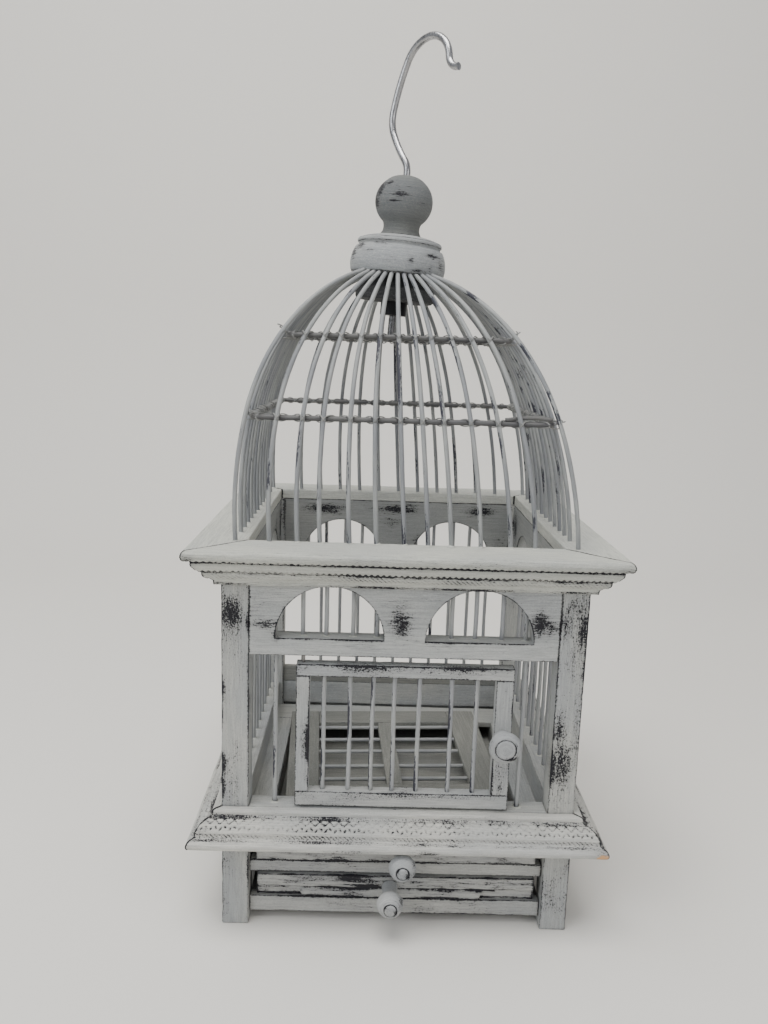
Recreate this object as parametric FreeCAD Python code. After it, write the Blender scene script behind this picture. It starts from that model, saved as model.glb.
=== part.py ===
import FreeCAD, Part
import math
import os

# Domed wooden bird cage, standing on its four corner posts, with a hanging hook on top.
# Millimetres. X runs left to right, Y from the door side (-Y) to the back, Z up.
# The origin is on the floor, in the middle of the plan.

os.makedirs("parts", exist_ok=True)

# ---------------------------------------------------------------- driving dimensions
body_w = 234.0          # square plan, over the corner posts
post_w = 18.0           # square corner post
rail_t = 15.0           # thickness of the rails between the posts
base_z = 66.0           # underside of the base rails and of their moulding
base_h = 21.0           # height of the base rails
wall_open_h = 105.4     # clear height from base rail to arch rail
sill_h = 11.4           # arch rail below the arch sills
arch_r = 34.6           # half-round arch
arch_side = 16.4        # arch to the post beside it
arch_crown_gap = 17.6   # arch crown to the top of the arch rail
board_t = 8.0           # flat top board of the cornice
cornice_drop = 17.0     # cornice moulding below that board
cornice_out = 21.4      # cornice beyond the posts
base_out = 20.0         # base moulding beyond the posts
mitre_gap = 0.1         # each mitred piece stops this far from the true mitre

bar_d = 3.0             # cage bars
bar_fit = 0.1           # glue clearance round a bar in its hole
bar_hole = 6.0          # depth of a bar's hole
arch_bar_hole = 5.0     # depth of an arch bar's hole in its sill, over the wall bars' holes
wall_bars = 11          # bars in a side or back wall
arch_bar_step = (-17.4, -2.4, 14.8, 30.5)   # bars in an arch, from its centre
kick_h = 14.0           # seed board along the back
kick_t = 6.0

dome_in_x = 7.5         # side bars' centres inside the posts' outer faces
dome_in_y = 11.5        # front and back bars' centres inside them
dome_corner_gap = 24.5  # corner bar to the next bar
dome_count = 11         # bars between two corner bars
# the front row was set by eye, so each bar stands a little off its even place
front_drift = (-3.0, -2.2, -4.8, -3.0, -2.8, -2.0, -3.8, -6.0, -4.0, -2.0, -3.0)
dome_lean = -0.065      # the dome leans left by this much for each unit of height
hoop_d = 4.0
low_hoop_z = 78.0       # hoop heights above the cornice
high_hoop_z = 130.0
low_hoop_f = 0.912      # how far in the bars have come there, from 1 at their feet
high_hoop_f = 0.705
hoop_corner_r = 4.0
hoop_gap = 0.15
wire_d = 0.8            # binding wire round the hoops

crown_z = 175.0         # underside of the cap above the cornice
crown_x = -10.2         # the cap sits left of the middle
crown_tilt = 4.0        # and leans to the right, in degrees
cap_rim = 3.1           # wood outside the groove under the cap
cap_h = 27.0
bar_ring_r = 25.5       # circle where the dome bars end, in a groove under the cap
groove_inside = 4.5     # groove inside and outside the circle of bars
groove_outside = 5.7
groove_depth = 5.5
plug_reach = 3.0        # plug beyond the circle of bars
plug_h = 18.5
finial_r = 20.6
finial_h = 41.0
hook_d = 5.0
hook_turn = -45.0       # the hook opens to the front right
shank_below = 44.0      # threaded shank below the cap
nut_w = 18.8
nut_h = 9.4
turn_fit = 0.1          # radial clearance round a turning shaft
free_gap = 0.3          # between pieces that move past each other

door_hinge_gap = 30.0   # door's edges from the posts' inner faces
door_latch_gap = 27.0
door_t = 9.0
door_gap_bottom = 1.3
door_gap_top = 5.6
hinge_stile_w = 9.0
latch_stile_w = 11.5
door_top_w = 8.2
door_bottom_w = 10.2
# the door's bars were set by eye too: how far each stands off its even place
door_bar_drift = (-6.0625, -4.325, -4.1875, -5.25, -4.3125, 1.625, 3.0625)
pin_d = 2.0
pin_fit = 0.05
pin_in_rail = 8.0
pin_in_door = 6.0
side_bar_in = (16.5, 19.5)   # fixed bars beside the door, from the posts' inner faces

knob_spigot_d = 6.0
knob_spigot = 5.0
door_knob_z = 51.5      # above the base rail
door_knob_d = 21.5
door_knob_neck = 12.0
door_knob_widest = 11.8     # from the door's face to the widest place
door_knob_reach = 16.5      # from the door's face to the button in front
door_knob_button = 13.0
drawer_knob_d = 18.2
drawer_knob_neck = 9.8
drawer_knob_widest = 18.0
drawer_knob_reach = 26.0
drawer_knob_button = 8.0

case_recess = 4.0       # drawer-case rails behind the posts' front faces
case_rail_t = 8.0
apron_z = 7.0
apron_h = 12.0
divider_z = 36.9
divider_h = 9.2
ledge_t = 5.0           # ledges under the floor grille, flush with the base rails' underside
ledge_w = 30.0
side_ledge_in = 15.0    # side ledges inside the base rails
panel_t = 8.0
panel_recess = 2.0
case_floor_t = 3.0
runner_w = 15.0
drawer_end_gap = 4.3    # drawer front to the post at each end
drawer_proud = 1.5      # drawer fronts ahead of the case rails
drawer_front_t = 8.0
drawer_side_gap = 4.0   # box to each end of its front
drawer_wall = 4.0
drawer_bottom_t = 3.0
drawer_back_gap = 6.0
drawer_tray_drop = 2.5  # lower tray's walls below the top of its front
drawer_slip = 0.6       # between a drawer and what is above it
upper_knob = (3.4, 8.1)     # knob from the middle of the front, and above its lower edge
lower_knob = (-3.8, 8.7)

grille_end_gap = 19.0   # grille to the line of the posts' inner faces, left and right
grille_side_gap = 22.0  # the same, front and back
grille_t = 5.0
grille_strip = 24.0
grille_middle = 12.0
grille_turn = 3.5       # the grille lies a little askew
grille_x = -3.5
grille_rod_d = 3.0
grille_rod_y = (48.0, 25.0, 4.0, -21.0, -41.0)

# ---------------------------------------------------------------- worked-out places
half = body_w / 2
post_in = half - post_w
arch_x = post_in - arch_side - arch_r
dome_w = body_w - 2 * dome_in_x
dome_d = body_w - 2 * dome_in_y
groove_in = bar_ring_r - groove_inside
groove_out = bar_ring_r + groove_outside
cap_r = groove_out + cap_rim
plug_r = bar_ring_r + plug_reach
door_left = -post_in + door_hinge_gap
door_right = post_in - door_latch_gap
drawer_w = 2 * (post_in - drawer_end_gap)
grille_w = 2 * (post_in - grille_end_gap)
grille_d = 2 * (post_in - grille_side_gap)
rail_in = half - rail_t
bar_line = half - rail_t / 2
base_top = base_z + base_h
rail_z = base_top + wall_open_h
sill_z = rail_z + sill_h
rail_top = sill_z + arch_r + arch_crown_gap
cornice_top = rail_top + board_t
bar_r = bar_d / 2

ALL = {}


def vec(x, y, z):
    return FreeCAD.Vector(x, y, z)


def box(x0, x1, y0, y1, z0, z1):
    return Part.makeBox(x1 - x0, y1 - y0, z1 - z0, vec(x0, y0, z0))


def rod(p, q, d):
    """A round bar of diameter d from p to q."""
    axis = q.sub(p)
    return Part.makeCylinder(d / 2, axis.Length, p, axis)


def polygon_prism(points, direction):
    wire = Part.makePolygon(points + [points[0]])
    return Part.Face(wire).extrude(direction)


def outline(steps):
    """A closed wire of lines and arcs in the XZ plane.

    Each step is a point (x, z), or a pair of points: one on an arc and its end.
    """
    edges = []
    here = vec(steps[0][0], 0, steps[0][1])
    first = here
    for step in steps[1:]:
        if isinstance(step[0], tuple):
            mid = vec(step[0][0], 0, step[0][1])
            end = vec(step[1][0], 0, step[1][1])
            edges.append(Part.Arc(here, mid, end).toShape())
        else:
            end = vec(step[0], 0, step[1])
            edges.append(Part.LineSegment(here, end).toShape())
        here = end
    edges.append(Part.LineSegment(here, first).toShape())
    return Part.Wire(edges)


def turned(steps):
    """A turned solid: the outline's X is the radius, and it spins about Z."""
    return Part.Face(outline(steps)).revolve(vec(0, 0, 0), vec(0, 0, 1), 360)


def quarter_turn(shape, quarters):
    """The same piece on another wall: front 0, right 1, back 2, left 3."""
    copy = shape.copy()
    copy.rotate(vec(0, 0, 0), vec(0, 0, 1), 90 * quarters)
    return copy


def arc_path(points, heading):
    """A wire of arcs through the points, each tangent to the one before."""
    edges = []
    tangent = heading.normalize()
    for p, q in zip(points, points[1:]):
        chord = q.sub(p)
        length = chord.Length
        along = chord.multiply(1.0 / length)
        cos_a = max(-1.0, min(1.0, tangent.dot(along)))
        across = tangent.sub(along * cos_a)
        if across.Length < 1e-4:
            edges.append(Part.LineSegment(p, q).toShape())
        else:
            across.normalize()
            rise = length / 2 * math.tan(math.acos(cos_a) / 2)
            middle = (p + q).multiply(0.5) + across * rise
            edges.append(Part.Arc(p, middle, q).toShape())
        tangent = (along * (2 * cos_a)).sub(tangent)
        tangent.normalize()
    return Part.Wire(edges)


def bent_bar(points, heading, d):
    """A round bar swept along tangent arcs."""
    path = arc_path(points, FreeCAD.Vector(heading))
    end = Part.Wire(Part.Circle(points[0], heading, d / 2).toShape())
    return path.makePipeShell([end], True, True)


def fuse(shapes):
    whole = shapes[0]
    if len(shapes) > 1:
        whole = whole.fuse(shapes[1:])
    return whole.removeSplitter()


def cut(shape, tools):
    return shape.cut(Part.makeCompound(tools)) if tools else shape


def one_solid(shape):
    return shape.Solids[0] if len(shape.Solids) == 1 else shape


def keep(name, shape):
    ALL[name] = shape if isinstance(shape, list) else [one_solid(shape)]


# ---------------------------------------------------------------- corner posts
# Four square posts run from the floor, where they are the feet, to the cornice board.
post_places = {
    "front_left": (-1, -1),
    "front_right": (1, -1),
    "back_left": (-1, 1),
    "back_right": (1, 1),
}
for place, (sx, sy) in post_places.items():
    xs = sorted((sx * half, sx * post_in))
    ys = sorted((sy * half, sy * post_in))
    keep("corner_post_" + place, box(xs[0], xs[1], ys[0], ys[1], 0, rail_top))

# ---------------------------------------------------------------- bars in the walls
side_step = 2 * post_in / (wall_bars + 1)
wall_bar_x = [-post_in + side_step * (i + 1) for i in range(wall_bars)]
door_side_x = (-post_in + side_bar_in[0], post_in - side_bar_in[1])


def wall_bar(x, d=bar_d):
    return rod(vec(x, -bar_line, base_top - bar_hole), vec(x, -bar_line, rail_z + bar_hole), d)


def arch_bars(d=bar_d):
    """Short bars standing on both arch sills of the front wall."""
    bars = []
    for centre in (-arch_x, arch_x):
        for step in arch_bar_step:
            top = sill_z + math.sqrt(arch_r ** 2 - step ** 2) + bar_hole
            x = centre + step
            bars.append(rod(vec(x, -bar_line, sill_z - arch_bar_hole), vec(x, -bar_line, top), d))
    return bars


full_wall = [wall_bar(x) for x in wall_bar_x]
keep("bars_right", [quarter_turn(b, 1) for b in full_wall + arch_bars()])
keep("bars_back", [quarter_turn(b, 2) for b in full_wall + arch_bars()])
keep("bars_left", [quarter_turn(b, 3) for b in full_wall + arch_bars()])
keep("arch_bars_front", arch_bars())
keep("door_side_bars", [wall_bar(x) for x in door_side_x])

# ---------------------------------------------------------------- base and arch rails
# All are made for the front wall and turned onto the others. The bars stand in holes.
hole_d = bar_d + 2 * bar_fit
pin_x = door_left + hinge_stile_w / 2
pin_y = -half + door_t / 2
door_bottom = base_top + door_gap_bottom
door_top = rail_z - door_gap_top
pin_hole_d = pin_d + 0.1

base_blank = box(-post_in, post_in, -half, -rail_in, base_z, base_top)
arch_blank = box(-post_in, post_in, -half, -rail_in, rail_z, rail_top)
arch_cuts = []
for centre in (-arch_x, arch_x):
    arch = outline([
        (centre - arch_r, sill_z),
        ((centre, sill_z + arch_r), (centre + arch_r, sill_z)),
    ])
    arch_face = Part.Face(arch)
    arch_face.translate(vec(0, -half - 1, 0))
    arch_cuts.append(arch_face.extrude(vec(0, rail_t + 2, 0)))
arch_holes = arch_bars(hole_d)
wall_holes = [wall_bar(x, hole_d) for x in wall_bar_x]
door_holes = [wall_bar(x, hole_d) for x in door_side_x]
pin_holes = [
    rod(vec(pin_x, pin_y, base_top - pin_in_rail), vec(pin_x, pin_y, base_top + 1), pin_hole_d),
    rod(vec(pin_x, pin_y, rail_z - 1), vec(pin_x, pin_y, rail_z + pin_in_rail), pin_hole_d),
]

keep("base_rail_front", cut(base_blank, door_holes + pin_holes))
keep("arch_rail_front", cut(arch_blank, arch_cuts + arch_holes + door_holes + pin_holes))
for name, quarters in (("right", 1), ("back", 2), ("left", 3)):
    base_rail = cut(base_blank, wall_holes)
    arch_rail = cut(arch_blank, arch_cuts + arch_holes + wall_holes)
    keep("base_rail_" + name, quarter_turn(base_rail, quarters))
    keep("arch_rail_" + name, quarter_turn(arch_rail, quarters))

# A low seed board stands on the back base rail, inside the bars.
kick_out = bar_line - bar_d / 2
keep("back_seed_board", box(-post_in, post_in, kick_out - kick_t, kick_out, base_top, base_top + kick_h))


# ---------------------------------------------------------------- mitred mouldings
def mitred(profile, reach):
    """A moulding along the front wall, cut at 45 degrees at both ends.

    The profile's points are (distance out from the middle, height).
    """
    steps = [tuple(((-a[0], a[1]) if not isinstance(a, tuple) else (-a[0], a[1])) for a in s)
             if isinstance(s[0], tuple) else (-s[0], s[1]) for s in profile]
    face = Part.Face(outline(steps))
    face.rotate(vec(0, 0, 0), vec(0, 0, 1), 90)
    face.translate(vec(-reach, 0, 0))
    strip = face.extrude(vec(2 * reach, 0, 0))
    z0 = strip.BoundBox.ZMin - 1
    wedge = polygon_prism([
        vec(0, -mitre_gap, z0),
        vec(-reach, -reach - mitre_gap, z0),
        vec(reach, -reach - mitre_gap, z0),
    ], vec(0, 0, strip.BoundBox.ZLength + 2))
    return strip.common(wedge)


seat = half + mitre_gap          # a moulding's back, against the posts and rails
lip = half + base_out            # outermost edge of the base moulding
base_profile = [
    (seat, base_z),
    (seat, base_top),
    (half + 3.8, base_top),
    ((half + 5.0, base_top - 0.5), (half + 5.5, base_top - 1.7)),
    (half + 5.7, base_top - 3.4),
    (half + 6.6, base_top - 3.8),
    ((half + 12.2, base_top - 6.6), (lip - 4.6, base_top - 12.6)),
    (lip - 4.4, base_top - 14.4),
    (lip - 2.2, base_top - 15.0),
    ((lip, base_top - 17.4), (lip - 0.7, base_z)),
]
base_strip = mitred(base_profile, lip + 5)
keep("base_moulding", [one_solid(quarter_turn(base_strip, n)) for n in range(4)])

# The cornice is a flat board on top of the walls, with a carved cove under its edge.
edge = half + cornice_out
cove_z = rail_top - cornice_drop
cornice_profile = [
    (rail_in, rail_top),
    (rail_in, cornice_top),
    (edge - 2.2, cornice_top),
    ((edge, rail_top + 4.4), (edge - 2.4, rail_top + 0.8)),
    (edge - 4.6, rail_top),
    (edge - 5.2, rail_top - 2.8),
    (half + 11.6, rail_top - 7.8),
    (half + 10.4, rail_top - 8.2),
    ((half + 9.4, rail_top - 11.0), (half + 6.2, cove_z + 4.4)),
    (half + 4.4, cove_z + 2.8),
    (half + 4.0, cove_z),
    (seat, cove_z),
    (seat, rail_top),
]
cornice_strip = mitred(cornice_profile, edge + 5)

# ---------------------------------------------------------------- crown frame
# The cap, finial and hook are made upright about Z, with the cap's underside at 0,
# and are then leaned and moved onto the dome.
crown = FreeCAD.Placement(
    vec(crown_x, 0, cornice_top + crown_z),
    FreeCAD.Rotation(vec(0, 1, 0), crown_tilt),
)


def crowned(shape):
    shape = shape.copy()
    shape.Placement = crown.multiply(shape.Placement)
    return shape


# ---------------------------------------------------------------- dome bars
# Each bar leaves the cornice upright, touches both hoops and ends under the cap.
lean_up = vec(dome_lean, 0, 1)
foot_z = cornice_top - bar_hole
inner_step = (dome_w - 2 * dome_corner_gap) / (dome_count - 1)
inner_step_d = (dome_d - 2 * dome_corner_gap) / (dome_count - 1)
dome_total = 4 * (dome_count + 1)


def dome_bar(x, y, index, along_x, d=bar_d, stub=True):
    """One dome bar from (x, y) on the cornice to its place on the ring."""
    turn = math.radians(225 + 360.0 * index / dome_total)
    end = crown.multVec(vec(bar_ring_r * math.cos(turn), bar_ring_r * math.sin(turn), 1.8))
    foot = vec(x, y, cornice_top)
    lift = lean_up * (end.z - cornice_top)
    drift = end.sub(foot).sub(lift)
    points = [foot]
    for height, inward in ((low_hoop_z, low_hoop_f), (high_hoop_z, high_hoop_f)):
        start = abs(y if along_x else x)
        finish = abs(y + drift.y if along_x else x + drift.x)
        share = start * (1 - inward) / (start - finish)
        points.append(foot + drift * share + lean_up * height)
    points.append(end)
    bar = bent_bar(points, lean_up, d)
    if not stub:
        return bar
    return one_solid(fuse([rod(foot - lean_up * bar_hole, foot, d), bar]))


def dome_hole(x, y):
    top = vec(x, y, cornice_top) + lean_up * 2
    return rod(vec(x, y, cornice_top) - lean_up * bar_hole, top, hole_d)


corner_x = dome_w / 2
corner_y = dome_d / 2
inner_x = [-corner_x + dome_corner_gap + inner_step * i for i in range(dome_count)]
inner_y = [-corner_y + dome_corner_gap + inner_step_d * i for i in range(dome_count)]
# feet in order round the plan, from the front left corner
front_feet = [(x + slip, -corner_y) for x, slip in zip(inner_x, front_drift)]
right_feet = [(corner_x, y) for y in inner_y]
back_feet = [(x, corner_y) for x in reversed(inner_x)]
left_feet = [(-corner_x, y) for y in reversed(inner_y)]
ring = (
    [("left", -corner_x, -corner_y)] + [("front", x, y) for x, y in front_feet]
    + [("right", corner_x, -corner_y)] + [("right", x, y) for x, y in right_feet]
    + [("right", corner_x, corner_y)] + [("back", x, y) for x, y in back_feet]
    + [("left", -corner_x, corner_y)] + [("left", x, y) for x, y in left_feet]
)
dome_sets = {"front": [], "right": [], "back": [], "left": []}
dome_holes = {"front": [], "right": [], "back": [], "left": []}
cap_notches = []          # the bars enter the cap through notches in its rim
for index, (side, x, y) in enumerate(ring):
    dome_sets[side].append(dome_bar(x, y, index, side in ("front", "back")))
    dome_holes[side].append(dome_hole(x, y))
    cap_notches.append(dome_bar(x, y, index, side in ("front", "back"), hole_d, False))
for side, bars in dome_sets.items():
    keep("dome_bars_" + side, bars)

for side, quarters in (("front", 0), ("right", 1), ("back", 2), ("left", 3)):
    keep("cornice_" + side, cut(quarter_turn(cornice_strip, quarters), dome_holes[side]))


# ---------------------------------------------------------------- hoops
def hoop_size(inward, slope_deg):
    """Half sizes of a hoop that lies just inside the bars."""
    inset = (bar_r + hoop_d / 2 + hoop_gap) / math.cos(math.radians(slope_deg))
    return corner_x * inward - inset, corner_y * inward - inset


def hoop(height, inward, slope_deg):
    hx, hy = hoop_size(inward, slope_deg)
    cx = dome_lean * height
    z = cornice_top + height
    r = hoop_corner_r
    pieces = []
    for sy in (-1, 1):
        pieces.append(rod(vec(cx - hx + r, sy * hy, z), vec(cx + hx - r, sy * hy, z), hoop_d))
    for sx in (-1, 1):
        pieces.append(rod(vec(cx + sx * hx, -hy + r, z), vec(cx + sx * hx, hy - r, z), hoop_d))
    corners = ((1, 1, 0), (-1, 1, 90), (-1, -1, 180), (1, -1, 270))
    for sx, sy, start in corners:
        bend = Part.makeTorus(r, hoop_d / 2, vec(0, 0, 0), vec(0, 0, 1), 0, 360, 90)
        bend.rotate(vec(0, 0, 0), vec(0, 0, 1), start)
        bend.translate(vec(cx + sx * (hx - r), sy * (hy - r), z))
        pieces.append(bend)
    return one_solid(fuse(pieces))


keep("lower_hoop", hoop(low_hoop_z, low_hoop_f, 17))
keep("upper_hoop", hoop(high_hoop_z, high_hoop_f, 42))


def bindings(height, inward, slope_deg):
    """Turns of wire round a hoop, halfway between neighbouring bars."""
    hx, hy = hoop_size(inward, slope_deg)
    cx = dome_lean * height
    z = cornice_top + height
    major = hoop_d / 2 + wire_d / 2 + 0.05
    step_x = inner_step * inward
    step_y = inner_step_d * inward
    rings = []
    for i in range(dome_count - 1):
        along = (i - (dome_count - 2) / 2)
        for sy in (-1, 1):
            at = vec(cx + along * step_x, sy * hy, z)
            rings.append(Part.makeTorus(major, wire_d / 2, at, vec(1, 0, 0)))
        for sx in (-1, 1):
            at = vec(cx + sx * hx, along * step_y, z)
            rings.append(Part.makeTorus(major, wire_d / 2, at, vec(0, 1, 0)))
    return rings


keep("hoop_bindings", bindings(low_hoop_z, low_hoop_f, 17) + bindings(high_hoop_z, high_hoop_f, 42))

# ---------------------------------------------------------------- cap, plug, finial
shaft_r = hook_d / 2 + turn_fit
cap_steps = [
    (shaft_r, 0),
    (groove_in, 0),
    (groove_in, groove_depth),
    (groove_out, groove_depth),
    (groove_out, 0),
    (cap_r - 0.9, 0),
    ((cap_r, cap_h * 0.30), (cap_r - 3.1, cap_h * 0.66)),
    (cap_r - 5.0, cap_h * 0.69),
    (cap_r - 5.0, cap_h * 0.74),
    ((cap_r - 4.0, cap_h * 0.80), (cap_r - 4.9, cap_h * 0.87)),
    ((cap_r * 0.62, cap_h * 0.965), (cap_r * 0.40, cap_h)),
    (shaft_r, cap_h),
]
cap = crowned(turned(cap_steps))
for notch in cap_notches:
    cap = cap.cut(notch)
keep("cap_collar", cap)

plug_gap = 0.1
plug_steps = [
    (shaft_r, -plug_gap),
    (groove_in - 1.5, -plug_gap),
    (plug_r, -plug_h * 0.55),
    (plug_r, -plug_h + 2.5),
    ((plug_r - 0.8, -plug_h + 0.7), (plug_r - 2.5, -plug_h)),
    (shaft_r, -plug_h),
]
keep("cap_plug", crowned(turned(plug_steps)))

f0 = cap_h + 0.05
neck_r = finial_r * 0.63
finial_steps = [
    (shaft_r, f0),
    (finial_r * 0.75, f0),
    ((neck_r, f0 + finial_h * 0.14), (finial_r * 0.68, f0 + finial_h * 0.235)),
    ((finial_r, f0 + finial_h * 0.57), (finial_r * 0.70, f0 + finial_h * 0.89)),
    ((finial_r * 0.46, f0 + finial_h * 0.972), (finial_r * 0.18, f0 + finial_h)),
    (shaft_r, f0 + finial_h),
]
keep("finial_knob", crowned(turned(finial_steps)))

# ---------------------------------------------------------------- hanging hook and nut
# The steel shank turns freely in the finial, cap and plug; the nut holds it from below.
# The bends are (distance out, height above the finial), in the hook's own plane.
hook_base = f0 + finial_h
hook_bends = (
    (0.0, 2.0), (-3.5, 11.0), (-16.6, 29.2), (-19.3, 45.0),
    (-9.8, 76.9), (7.4, 90.2), (21.5, 86.5), (28.3, 74.9), (37.6, 67.4),
)
hook_points = [vec(out, 0, hook_base + up) for out, up in hook_bends]
hook_top = bent_bar(hook_points, vec(0, 0, 1), hook_d)
hook_shank = rod(vec(0, 0, -shank_below), hook_points[0], hook_d)
hook = fuse([hook_shank, hook_top])
hook.rotate(vec(0, 0, 0), vec(0, 0, 1), hook_turn)
keep("hanging_hook", crowned(hook))

nut_top = -plug_h - free_gap
nut = Part.makeCylinder(nut_w / 2, nut_h, vec(0, 0, nut_top - nut_h))
nut = nut.cut(Part.makeCylinder(hook_d / 2 + 0.05, nut_h + 2, vec(0, 0, nut_top - nut_h - 1)))
keep("hanger_nut", crowned(nut))


# ---------------------------------------------------------------- knobs
def knob(x, y, z, d, neck_d, widest, reach, button_d):
    """A turned knob with its spigot, pointing to the front from the face at y."""
    r = d / 2
    n = neck_d / 2
    swell = (r - n) * 0.9
    ahead = reach - widest
    b = button_d / 2
    steps = [
        (0, -knob_spigot),
        (knob_spigot_d / 2, -knob_spigot),
        (knob_spigot_d / 2, 0.05),
        (n + 0.6, 0.05),
        ((n - 0.3, (widest - swell) * 0.5), (n, widest - swell * 1.6)),
        ((n + (r - n) * 0.72, widest - swell * 0.72), (r, widest)),
        ((b + (r - b) * 0.74, widest + ahead * 0.5), (b + 0.9, reach - 0.9)),
        (b, reach - 1.3),
        ((b - 0.5, reach - 0.2), (b - 1.6, reach)),
        (0, reach),
    ]
    body = turned(steps)
    body.rotate(vec(0, 0, 0), vec(1, 0, 0), 90)
    body.translate(vec(x, y, z))
    return body


def knob_hole(x, y, z):
    return rod(vec(x, y - 1, z), vec(x, y + knob_spigot + 0.3, z), knob_spigot_d + 0.1)


# ---------------------------------------------------------------- door
door_y0 = -half
door_y1 = -half + door_t
door_mid_y = (door_y0 + door_y1) / 2
lower_edge = door_bottom + door_bottom_w
upper_edge = door_top - door_top_w
hinge_in = door_left + hinge_stile_w
latch_in = door_right - latch_stile_w
door_bar_step = (latch_in - hinge_in) / (len(door_bar_drift) + 1)
door_bar_x = [hinge_in + door_bar_step * (i + 1) + d for i, d in enumerate(door_bar_drift)]
knob_x = (latch_in + door_right) / 2
knob_z = base_top + door_knob_z


def door_bar(x, d=bar_d):
    deep = bar_hole - 1.5
    return rod(vec(x, door_mid_y, lower_edge - deep), vec(x, door_mid_y, upper_edge + deep), d)


pin_bore = pin_d + 2 * pin_fit
door_pin_bores = [
    rod(vec(pin_x, pin_y, door_bottom - 1), vec(pin_x, pin_y, door_bottom + pin_in_door + 0.5), pin_bore),
    rod(vec(pin_x, pin_y, door_top - pin_in_door - 0.5), vec(pin_x, pin_y, door_top + 1), pin_bore),
]
door_bar_holes = [door_bar(x, hole_d) for x in door_bar_x]
low_rail = box(door_left, door_right, door_y0, door_y1, door_bottom, lower_edge)
top_rail = box(door_left, door_right, door_y0, door_y1, upper_edge, door_top)
keep("door_bottom_rail", cut(low_rail, door_bar_holes + door_pin_bores))
keep("door_top_rail", cut(top_rail, door_bar_holes + door_pin_bores))
keep("door_hinge_stile", box(door_left, hinge_in, door_y0, door_y1, lower_edge, upper_edge))
latch_stile = box(latch_in, door_right, door_y0, door_y1, lower_edge, upper_edge)
keep("door_latch_stile", cut(latch_stile, [knob_hole(knob_x, door_y0, knob_z)]))
keep("door_bars", [door_bar(x) for x in door_bar_x])
keep("door_knob", knob(knob_x, door_y0, knob_z, door_knob_d, door_knob_neck,
                       door_knob_widest, door_knob_reach, door_knob_button))
keep("hinge_pins", [
    rod(vec(pin_x, pin_y, base_top - pin_in_rail), vec(pin_x, pin_y, door_bottom + pin_in_door), pin_d),
    rod(vec(pin_x, pin_y, door_top - pin_in_door), vec(pin_x, pin_y, rail_z + pin_in_rail), pin_d),
])

# ---------------------------------------------------------------- drawer case
case_y = -half + case_recess
case_back_y = case_y + case_rail_t
panel_out = half - panel_recess
panel_in = panel_out - panel_t
ledge_z = base_z - ledge_t
keep("apron_rail", box(-post_in, post_in, case_y, case_back_y, apron_z, apron_z + apron_h))
keep("divider_rail", box(-post_in, post_in, case_y, case_back_y, divider_z, divider_z + divider_h))
keep("case_side_left", box(-panel_out, -panel_in, -post_in, post_in, apron_z, base_z))
keep("case_side_right", box(panel_in, panel_out, -post_in, post_in, apron_z, base_z))
keep("case_back", box(-post_in, post_in, panel_in, panel_out, apron_z, base_z))
floor_top = apron_z + apron_h
case_floor = fuse([
    box(-post_in, post_in, case_back_y, panel_in, floor_top - case_floor_t, floor_top),
    box(-panel_in, panel_in, -post_in, post_in, floor_top - case_floor_t, floor_top),
])
keep("case_floor", case_floor)
runner_z0 = divider_z + divider_h - 6.0
keep("drawer_runners", [
    box(-post_in, -post_in + runner_w, case_back_y, panel_in, runner_z0, divider_z + divider_h),
    box(post_in - runner_w, post_in, case_back_y, panel_in, runner_z0, divider_z + divider_h),
])
keep("grille_ledges", [
    box(-panel_in, panel_in, -post_in, -post_in + ledge_w, ledge_z, base_z),
    box(-panel_in, panel_in, post_in - ledge_w, post_in, ledge_z, base_z),
    box(-panel_in, side_ledge_in - rail_in, ledge_w - post_in, post_in - ledge_w, ledge_z, base_z),
    box(rail_in - side_ledge_in, panel_in, ledge_w - post_in, post_in - ledge_w, ledge_z, base_z),
])


# ---------------------------------------------------------------- drawers
def drawer(name, z0, z1, top, knob_at):
    """A shallow drawer: its front fills the height z0 to z1, its tray reaches top."""
    front_y = case_y - drawer_proud
    w = drawer_w / 2
    bw = w - drawer_side_gap
    y1 = panel_in - drawer_back_gap
    y0 = front_y + drawer_front_t
    kx = knob_at[0]
    kz = z0 + knob_at[1]
    front = box(-w, w, front_y, y0, z0, z1)
    keep(name + "_front", cut(front, [knob_hole(kx, front_y, kz)]))
    tray = box(-bw, bw, y0, y1, z0, top)
    hollow = box(-bw + drawer_wall, bw - drawer_wall, y0 - 1, y1 - drawer_wall,
                 z0 + drawer_bottom_t, top + 1)
    keep(name + "_tray", tray.cut(hollow))
    keep(name + "_knob", knob(kx, front_y, kz, drawer_knob_d, drawer_knob_neck,
                              drawer_knob_widest, drawer_knob_reach, drawer_knob_button))


lower_top = divider_z - drawer_slip
drawer("lower_drawer", floor_top + free_gap, lower_top, lower_top - drawer_tray_drop, lower_knob)
upper_bottom = divider_z + divider_h + free_gap
drawer("upper_drawer", upper_bottom, base_z - drawer_slip, ledge_z - drawer_slip, upper_knob)

# ---------------------------------------------------------------- floor grille
gx = grille_w / 2
gy = grille_d / 2
g0 = base_z
g1 = base_z + grille_t
rod_z = (g0 + g1) / 2
inside_x = gx - grille_strip
inside_y = gy - grille_strip


def grille_rod(y, d):
    deep = 6.0
    return rod(vec(-inside_x - deep, y, rod_z), vec(inside_x + deep, y, rod_z), d)


def laid(shape):
    """Turn a piece of the grille to the way it lies in the cage."""
    shape = shape.copy()
    shape.rotate(vec(0, 0, 0), vec(0, 0, 1), grille_turn)
    shape.translate(vec(grille_x, 0, 0))
    return shape


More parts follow.
